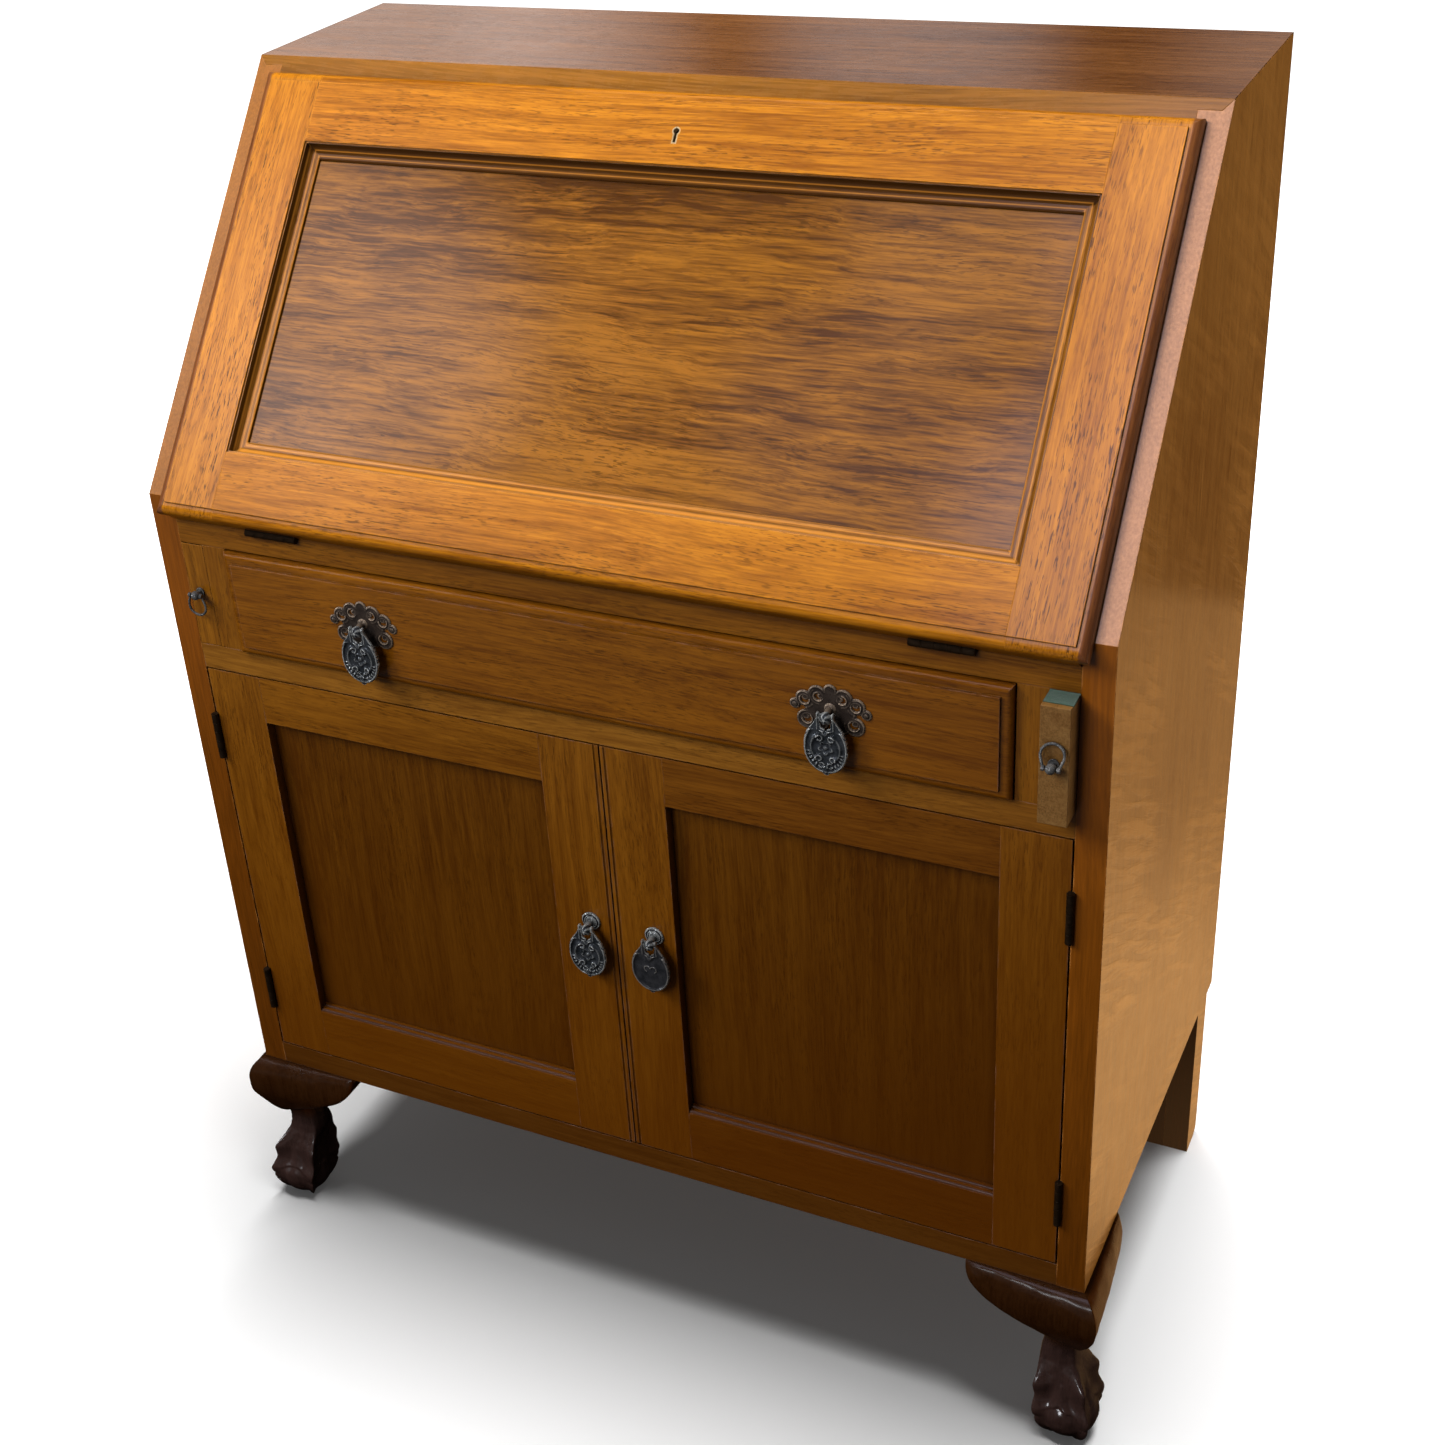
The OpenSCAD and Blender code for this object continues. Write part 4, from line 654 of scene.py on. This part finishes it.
def knee_rings(seed, steps=34):
    """The knee and both its ears in one: along the front, round the mitred corner and back along the side."""
    rings = []
    # distances from the corner: closer together at the ear's end and at the corner
    ts = [*(EAR_LEN - 12 * np.linspace(0, 1, 9) ** 1.6), *np.linspace(EAR_LEN - 13, 3, 27), 1.5, 0.6]
    for t, where in [(t, 0) for t in ts] + [(0, 1)] + [(t, 2) for t in reversed(ts)]:
        low = ear_edge(t)
        k = 1 - 0.55 * t / EAR_LEN
        # the ear's end is rounded off
        k *= math.sqrt(max(0.0, 1 - (max(0, t - EAR_LEN + 7) / 7) ** 2)) * 0.9 + 0.1
        ring = [(-KNEE_THICK, LEG_H - 0.05)]
        for i in range(steps + 1):
            z = LEG_H - 0.05 - (LEG_H - low) * (i / steps) ** 1.4
            q = k * knee_reach(z)
            # soft lower arris
            q -= 2.2 * math.exp(-((z - low) / 1.3)) if z < low + 6 else 0
            ring.append((q, z))
        ring.append((-KNEE_THICK, low))
        q, z = np.array(ring).T
        # near the corner the rings turn towards the mitre
        along = t - max(0, 1 - t / (KNEE_THICK + 1)) * q
        if where < 2:
            p = np.stack([HALF_W - along, FRONT - q, z], 1)
        else:
            p = np.stack([HALF_W + q, FRONT + along, z], 1)
        live = (q > 1 - KNEE_THICK) & (z < LEG_H - 1.5)
        n = waves(p, 26, seed) * 0.35 + waves(p, 8, seed + 1) * 0.12
        p[:, 1] -= n * live * (where < 2)
        p[:, 0] += n * live * (where > 0)
        rings.append(p)
    return rings


def carve_leg(name, mirror, seed):
    verts, faces = joined(ring_skin(foot_rings(seed)), ring_skin(knee_rings(seed + 11)))
    verts = np.clip(verts / 1000, cad_lo, cad_hi)
    if mirror:
        verts = verts * (-1, 1, 1)
        faces = [f[::-1] for f in faces]
    o = mesh_object(name, verts, faces, foot)
    shiny.objects.link(o)
    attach(o, "case")
    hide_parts("leg_left" if mirror else "leg_right", "knee_blocks")


carve_leg("leg_right_carved", False, 3)
carve_leg("leg_left_carved", True, 8)

# ---------------------------------------------------------------- pulls in relief

def smooth_min(*fields, k=0.6):
    """Union of distance fields, blended over about k."""
    return -k * np.log(sum(np.exp(-f / k) for f in fields) + 1e-300)


def disc(x, y, cx, cy, r, ry=None):
    """Signed distance, about, to a circle or an ellipse."""
    ry = ry or r
    return (np.hypot((x - cx) / r, (y - cy) / ry) - 1) * min(r, ry)


def arc(x, y, cx, cy, r, a0, a1, ry=None):
    """Distance to part of a circle, with angles in degrees from +X, anticlockwise."""
    k = (ry or r) / r
    a = np.degrees(np.arctan2((y - cy) / k, x - cx))
    mid, half = (a0 + a1) / 2, (a1 - a0) / 2
    off = (a - mid + 540) % 360 - 180
    on = np.abs(np.hypot(x - cx, (y - cy) / k) - r)
    ends = [np.hypot(x - cx - r * math.cos(math.radians(e)), y - cy - r * k * math.sin(math.radians(e)))
            for e in (a0, a1)]
    return np.where(np.abs(off) <= half, on, np.minimum(*ends))


def ridge(d, width, height):
    """Rounded ridge along a line, from the distance to it."""
    return height * np.exp(-(d / width) ** 2)


def relief(shape, height, span, back, step=0.32):
    """Plate in the XY plane, mm: shape(x, y) < 0 inside, height(x, y) in front and back behind.

    span is half the width, half the height and the middle's Y.
    """
    nx, ny = (int(2 * s / step) + 1 for s in span[:2])
    xs, ys = np.linspace(-span[0], span[0], nx), np.linspace(-span[1], span[1], ny) + span[2]
    x, y = np.meshgrid(xs, ys, indexing="ij")
    f = shape(x, y)
    cx, cy = (x[:-1, :-1] + x[1:, 1:]) / 2, (y[:-1, :-1] + y[1:, 1:]) / 2
    keep = shape(cx, cy) < 0
    # corners next to the edge slide onto it
    near = np.abs(f) < step
    for _ in range(3):
        e = 0.02  # step for the slope
        gx, gy = (shape(x + e, y) - f) / e, (shape(x, y + e) - f) / e
        n = np.maximum(gx ** 2 + gy ** 2, 0.2)
        x = np.where(near, x - np.clip(f * gx / n, -step / 2, step / 2), x)
        y = np.where(near, y - np.clip(f * gy / n, -step / 2, step / 2), y)
        f = shape(x, y)
    z = height(x, y)
    index = -np.ones((nx, ny), int)
    used = np.zeros((nx, ny), bool)
    for a in (slice(None, -1), slice(1, None)):
        for b in (slice(None, -1), slice(1, None)):
            used[a, b] |= keep
    index[used] = np.arange(used.sum())
    top = np.stack([x[used], y[used], z[used]], 1)
    low = np.stack([x[used], y[used], back + 0 * z[used]], 1)
    m = len(top)
    faces = []
    for i, j in np.argwhere(keep):
        q = (index[i, j], index[i + 1, j], index[i + 1, j + 1], index[i, j + 1])
        faces.append(q)
        faces.append(tuple(m + v for v in q[::-1]))
        for (di, dj), (a, b) in (((0, -1), (0, 1)), ((1, 0), (1, 2)), ((0, 1), (2, 3)), ((-1, 0), (3, 0))):
            u, v = i + di, j + dj
            if not (0 <= u < nx - 1 and 0 <= v < ny - 1 and keep[u, v]):
                faces.append((q[b], q[a], m + q[a], m + q[b]))
    return np.concatenate([top, low]), faces


def ball(radius, centre, squash=(1, 1, 1), rings=14, across=28, lines=0.0):
    """Round head, with raised lines that wind round it."""
    verts, faces = [], []
    for i in range(rings + 1):
        t = math.pi * i / rings
        for j in range(across):
            a = 2 * math.pi * j / across
            r = radius + lines * math.cos(5 * a + 3 * t) * math.sin(t)
            verts.append([centre[0] + squash[0] * r * math.sin(t) * math.cos(a),
                          centre[1] + squash[1] * r * math.sin(t) * math.sin(a),
                          centre[2] + squash[2] * r * math.cos(t)])
    for i in range(rings):
        for j in range(across):
            k = (j + 1) % across
            faces.append((i * across + j, (i + 1) * across + j, (i + 1) * across + k, i * across + k))
    return np.array(verts), faces


# crescents of the drawer plates: middle, radius and the way they open, in degrees
CRESCENTS = ((8.6, 8.2, 3.0, 160), (18.6, 4.2, 3.3, 100), (17, -10.4, 3.5, 60))


def plate_shape(x, y):
    u = np.abs(x)
    lobes = smooth_min(disc(u, y, 0, 13.9, 4.9), disc(u, y, 9.4, 9.4, 6.9), disc(u, y, 19.2, 4.8, 6.2),
                       disc(u, y, 26, -0.4, 4.0), disc(u, y, 17.4, -11.2, 7.5), disc(u, y, 8, -12, 6.6),
                       disc(u, y, 0, 0, 19, 13.5), k=0.25)
    for cx, cy, r, way in CRESCENTS:
        a = math.radians(way)
        bite = np.maximum(disc(u, y, cx, cy, r * 0.86),
                          -disc(u, y, cx + 0.62 * r * math.cos(a), cy + 0.62 * r * math.sin(a), r * 0.8))
        lobes = np.maximum(lobes, -bite)
    # a drop-shaped hole, flat on its inner side
    drop_hole = np.maximum(disc(u, y, 21.2, -2.6, 1.5), -(u - 19.4))
    return np.maximum(lobes, -drop_hole)


def plate_height(x, y):
    u = np.abs(x)
    h = 1.0 + 0 * x
    for cx, cy, r, way in CRESCENTS:
        # pale raised rim round the far side of each opening
        h = h + ridge(arc(u, y, cx, cy, r * 1.08, way + 75, way + 285), 0.55, 0.75)
        h = h + ridge(arc(u, y, cx, cy, r * 1.9, way + 110, way + 250), 0.8, 0.3)
    h = h + 1.0 * np.clip(1 - (disc(u, y, 26, -0.6, 2.0) / 2.0 + 1) ** 2, 0, 1) ** 0.5
    edge = np.clip(-plate_shape(x, y), 0, 1.2) / 1.2
    h = h + ridge(-plate_shape(x, y) - 0.9, 0.5, 0.3)
    return h * (0.55 + 0.45 * np.sqrt(edge))


# half width and height of a drop's body, and how far its middle hangs under the pin
DROP_RX, DROP_RY, DROP_MID = 16, 19, 26.5
ROSETTE_R = 8


def drop_shape(x, y):
    u, v = np.abs(x), y + DROP_MID
    # a rounded shield, fuller above its middle than below
    p = np.where(v > 0, 2.45, 2.0)
    full = (((u / DROP_RX) ** p + (np.abs(v) / DROP_RY) ** p + 1e-9) ** (1 / p) - 1) * DROP_RX
    body = smooth_min(full, disc(u, v, 0, -DROP_RY + 0.6, 2.4), k=0.4)
    arms = np.maximum(np.maximum(u - 6.2 - 0.5 * np.maximum(-y - 2, 0), -y - 13), y - 1.6)
    body = smooth_min(body, arms, k=1.2)
    heart = smooth_min(disc(u, y, 0, -4.2, 4.7, 4.6), disc(u, y, 1.6, -8.2, 2.2, 2.6),
                       disc(u, y, 0, -10.2, 1.0, 2.2), k=0.4)
    slot = np.maximum(u - 4.5, -(y + 3.5))
    return np.maximum(body, -np.minimum(heart, slot))


def drop_height(plain):
    def height(x, y):
        u, v = np.abs(x), y + DROP_MID
        # distance from the edge, without the arms at the top
        edge = np.where(v > 0, -drop_shape(x, y) * (v < 15) + 4 * (v >= 15),
                        -disc(x, v, 0, 0, DROP_RX, DROP_RY))
        h = 1.0 + 0 * x
        h = h + ridge(edge - 1.0, 0.95, 1.2)
        h = h + ridge(u - 5.9, 0.8, 0.6) * np.clip((v - 13) / 3, 0, 1)
        if plain:
            h = h + 0.5 * np.clip(1 - (x / 11) ** 2 - (v / 13) ** 2, 0, 1)
            h = h + ridge(arc(x, v, -2.5, 2, 2.6, 20, 250), 0.5, 0.5)
            return h + ridge(arc(x, v, 2.5, 2, 2.6, -70, 160), 0.5, 0.5)
        # C-scrolls left and right with rolled ends
        h = h + ridge(arc(u, v, 2.2, 1.2, 8.4, -62, 68, ry=10.4), 1.5, 1.3)
        h = h + ridge(arc(u, v, 4.4, 8.9, 2.1, 20, 300), 0.9, 1.0)
        h = h + ridge(arc(u, v, 5.2, -7.4, 2.0, -20, 260), 0.9, 1.0)
        # rosette in the middle
        r, a = np.hypot(x, v - 1.4), np.arctan2(v - 1.4, x)
        h = h + 1.0 * np.clip(1 - (r / 2.2) ** 2, 0, 1)
        h = h + ridge(r - 4.4 - 0.6 * np.cos(5 * a + 1.6), 1.3, 0.9) * (0.75 + 0.25 * np.cos(5 * a + 1.6))
        # short ribs along the lower left and right
        ring = np.exp(-((edge - 3.3) / 1.5) ** 2)
        where = np.degrees(np.arctan2(v, u))
        h = h + 0.95 * ring * (0.5 + 0.5 * np.cos(where * 0.52)) * ((where < -4) & (where > -66))
        # volutes and bud at the bottom
        h = h + ridge(arc(u, v, 3.2, -12.6, 1.9, 60, 330), 0.9, 0.9)
        h = h + 1.4 * np.clip(1 - (x / 2.3) ** 2 - ((v + 15.2) / 3.0) ** 2, 0, 1)
        return h
    return height


def rosette_shape(x, y):
    return disc(x, y, 0, 0, ROSETTE_R)


def rosette_height(x, y):
    edge = -rosette_shape(x, y)
    dome = 0.9 + 0.5 * np.clip(edge / ROSETTE_R, 0, 1)
    return dome + ridge(edge - 0.9, 0.6, 0.7) + ridge(edge - 2.9, 0.8, 0.9)


def pull_head(depth):
    """The lined head that a drop hangs on with its pin, and the foot that joins it to the plate."""
    head = [ball(4.2, (0, -2.2, depth), (1, 1.08, 0.96), rings=24, across=48, lines=0.32),
            ball(1.05, (0, 0, depth), (6.4, 1, 1), across=14)]
    return head, [ball(4.4, (0, 0, 1.0), (1, 1, 0.4)), ball(2.6, (0, 0, depth / 2), (1, 1, depth / 5.2))]


def stand_up(name, parts, origin, material, node, body):
    """Relief made flat, facing +Z, is stood up to face the front."""
    verts, faces = joined(*parts)
    verts = np.stack([verts[:, 0], -verts[:, 2], verts[:, 1]], 1) / 1000 + np.array(origin)
    o = mesh_object(name, verts, faces, material)
    shiny.objects.link(o)
    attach(o, body)
    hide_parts(node)


# the drop's ears reach so far round its pin
EAR_REACH = 0.0023
# the right door's drop hangs back to front and shows its plainer face
for side, node, body, plain in (("left", "drawer_drop_left", "drawer_left_drop", False),
                                ("right", "drawer_drop_right", "drawer_right_drop", False),
                                ("left", "door_left_drop", "left_door_drop", False),
                                ("right", "door_right_drop", "right_door_drop", True)):
    lo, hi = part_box(node)
    pin = ((lo.x + hi.x) / 2, (lo.y + hi.y) / 2, hi.z - EAR_REACH)
    skin = relief(drop_shape, drop_height(plain), (17, 25, -23), -1.2)
    ears = [ball(2.2, (s * 5.4, 0, 0), (0.36, 1, 1), across=20) for s in (-1, 1)]
    stand_up(node + "_carved", [skin] + ears, pin, dull_bronze if plain else drop_bronze, node, body)
    carrier = "drawer_plates" if node.startswith("drawer") else "door_%s_rosette" % side
    foot_at = (pin[0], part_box(carrier)[1].y, pin[2])
    head, neck = pull_head((foot_at[1] - pin[1]) * 1000)
    if carrier == "drawer_plates":
        skin = relief(plate_shape, plate_height, (31, 19, 0), 0)
        stand_up("drawer_plate_" + side, [skin] + neck, foot_at, plate_bronze, carrier, "drawer")
        stand_up("drawer_head_" + side, head, foot_at, drop_bronze, carrier, "drawer")
    else:
        skin = relief(rosette_shape, rosette_height, (8.6, 8.6, 0), 0)
        stand_up(carrier + "_carved", [skin] + head + neck, foot_at, drop_bronze, carrier, side + "_door")

# ---------------------------------------------------------------- stage

g = Paint("floor_paint")


def shader(kind, *values):
    """A shader node with its inputs set in order."""
    n = g.node(kind)
    for socket, value in zip(n.inputs, values):
        g.put(socket, value)
    return n.outputs[0]


path = g.node("LightPath")
position = g.node("NewGeometry").outputs["Position"]
away = g.vmath("LENGTH", g.stretch(position, (1, 1, 0)))
# the floor as the camera sees it: lit diffuse, with a painted glow that is faint near the desk, where it lifts
# the shadow, and white beyond 1.5 m as backdrop
seen = shader("AddShader", shader("BsdfDiffuse", (0.9, 0.9, 0.9)),
              shader("Emission", (1, 1, 1), g.remap(away, 0.75, 1.5, 0.035, 1.1, smooth=True)))
# what the varnish sees: a dark floor in front, a lit one behind and to the right
east, north, _ = g.split(position)
lit = g.mul(g.remap(north, -0.2, 0.15, 0, 1, smooth=True), g.remap(north, 0.35, 0.8, 1, 0.4, smooth=True))
lit = g.mul(lit, g.remap(north, 1.23, 1.29, 1, 0.08))
lit = g.mul(lit, g.remap(east, 0.1, 0.5, 0, 1, smooth=True))
far_front = g.remap(north, -1.4, -0.75, 0.15, 0, smooth=True)
mirrored_floor = shader("Emission", g.mix(far_front, g.mix(lit, (0, 0, 0), (0.9, 0.5, 0.2)), (1, 1, 1)), 1.0)
# what lights the desk from below is a dim, warm floor
unseen = shader("MixShader", path.outputs["Is Glossy Ray"], shader("BsdfDiffuse", (0.10, 0.08, 0.06)),
                mirrored_floor)
g.put(g.out.inputs[0], shader("MixShader", path.outputs["Is Camera Ray"], unseen, seen))
far = 20
floor = mesh_object("floor", [(-far, -far, 0), (far, -far, 0), (far, far, 0), (-far, far, 0)],
                    [(0, 1, 2, 3)], g.mat)

# Room light: white to the camera, an even dim dome for the shading, and soft windows in the varnish
world = bpy.data.worlds.new("studio")
bpy.context.scene.world = world
world.use_nodes = True
w = Graph(world.node_tree)
way = w.node("TexCoord").outputs["Generated"]
path = w.node("LightPath")
room = None
# azimuth from the front to the right, elevation, half width in degrees, strength, colour
for az, el, wide, power, tint in (
    (-50, 43, 4, 2.6, (1, 0.86, 0.86)),
    (-49, 38, 3, 1.4, (1, 0.86, 0.86)),
    (-32, 49.6, 3, 0.7, (0.8, 0.8, 1)),
    (-32.5, 55.5, 2.5, 0.8, (0.75, 0.85, 1)),
    (-18, 59, 4.5, 3.6, (0.85, 0.8, 1)),
    (-18, 50, 4.5, 3.8, (0.85, 0.8, 1)),
    (-144, 11, 6, 0.8, (1, 0.92, 0.88)),
    (-151, 13, 2.5, 0.6, (1, 0.92, 0.9)),
    (-160, 13.5, 3, 0.6, (0.92, 0.95, 1)),
    (-172, 15, 4, 0.4, (1, 0.95, 0.95)),
):
    a, e = math.radians(az), math.radians(el)
    d = (math.sin(a) * math.cos(e), -math.cos(a) * math.cos(e), math.sin(e))
    near = w.remap(w.vmath("DOT_PRODUCT", way, d), math.cos(math.radians(wide * 1.6)),
                   math.cos(math.radians(wide * 0.4)), 0, power, smooth=True)
    # powers over 1 pass only where the factor isn't clamped
    spot = w.node("Mix", data_type="RGBA", blend_type="MIX", clamp_factor=False)
    w.put(spot.inputs[0], near)
    w.put(spot.inputs[6], (0, 0, 0))
    w.put(spot.inputs[7], tint)
    room = w.mix(1.0, room, spot.outputs[2], "ADD") if room else spot.outputs[2]
dome = w.mix(w.remap(w.split(way)[2], 0, 1, 0, 1), (0.04, 0.04, 0.04), (0.09, 0.09, 0.09))
unseen = w.mix(path.outputs["Is Glossy Ray"], dome, room)
sky = w.node("Background")
w.put(sky.inputs[0], w.mix(path.outputs["Is Camera Ray"], unseen, (1, 1, 1)))
w.put(w.node("OutputWorld").inputs[0], sky.outputs[0])

off_floor = bpy.data.collections.new("lamps_on_the_desk")
off_floor.objects.link(floor)
off_floor.collection_objects[0].light_linking.link_state = "EXCLUDE"
only_floor = bpy.data.collections.new("lamp_on_the_floor")
only_floor.objects.link(floor)


def lamp(name, location, target, size, power, colour=(1, 1, 1), reach=off_floor, mirrored=False):
    """Square area lamp that lights only what reach holds, or leaves in."""
    d = bpy.data.lights.new(name, "AREA")
    d.shape = "RECTANGLE"
    d.size = d.size_y = size
    d.energy, d.color = power, colour
    o = bpy.data.objects.new(name, d)
    o.location = location
    o.rotation_euler = (Vector(target) - Vector(location)).to_track_quat("-Z", "Y").to_euler()
    o.light_linking.receiver_collection = reach
    o.visible_glossy = mirrored
    bpy.context.scene.collection.objects.link(o)


lamp("floor_light", (0.1, 0.42, 3.3), (0, 0.1, 0), 2.0, 245, reach=only_floor)
lamp("overhead", (-0.5, 0.2, 3.0), (0, 0.1, 0.3), 1.6, 75)
lamp("front_left", (-2.0, -1.8, 2.9), (-0.1, 0, 0.8), 1.4, 120)
lamp("front", (-0.6, -3.0, 2.6), (-0.1, 0, 0.8), 1.4, 70)
lamp("right", (2.8, 0.9, 1.0), (0.3, 0, 0.2), 1.4, 42)
for name, location, target, size, power, colour in (
    ("window_left", (-2.6, -0.9, 2.6), (0.3, -0.2, 0.2), 0.24, 1.8, (0.88, 0.93, 1)),
    ("window_low", (-2.6, -1.3, 0.9), (0.3, -0.2, 0.1), 0.4, 12, (0.88, 0.93, 1)),
    ("window_front", (-0.3, -2.7, 1.1), (0.3, -0.2, 0.1), 0.34, 7, (0.92, 0.95, 1)),
):
    lamp(name, location, target, size, power, colour, reach=shiny, mirrored=True)

# ---------------------------------------------------------------- camera

# The photograph's camera, fitted to the case's corners and the feet: where it stands, from the middle of the
# case's front at floor level, which way it looks, in degrees, and its lens
STAND = Vector((0.66006, -1.13652, 1.36906))
YAW, PITCH, ROLL = -29.2495, 30.6854, -4.998
LENS, SHIFT_X, SHIFT_Y = 51.926, 0.06795, 0.00119

yaw, pitch, roll = (math.radians(v) for v in (YAW, PITCH, ROLL))
ahead = Vector((math.sin(yaw) * math.cos(pitch), math.cos(yaw) * math.cos(pitch), -math.sin(pitch)))
right = Vector((math.cos(yaw), -math.sin(yaw), 0))
up = right.cross(ahead)
right, up = (math.cos(roll) * right + math.sin(roll) * up, -math.sin(roll) * right + math.cos(roll) * up)
stand = STAND + Vector((0, side_lo.y, 0))
cam = bpy.data.objects.new("camera", bpy.data.cameras.new("camera"))
bpy.context.scene.collection.objects.link(cam)
cam.matrix_world = Matrix([(right[i], up[i], -ahead[i], stand[i]) for i in range(3)] + [(0, 0, 0, 1)])
cam.data.sensor_width = 36
cam.data.lens = LENS
cam.data.shift_x, cam.data.shift_y = SHIFT_X, SHIFT_Y
cam.data.clip_end = 100
bpy.context.scene.camera = cam
bpy.context.scene.view_settings.view_transform = "Standard"
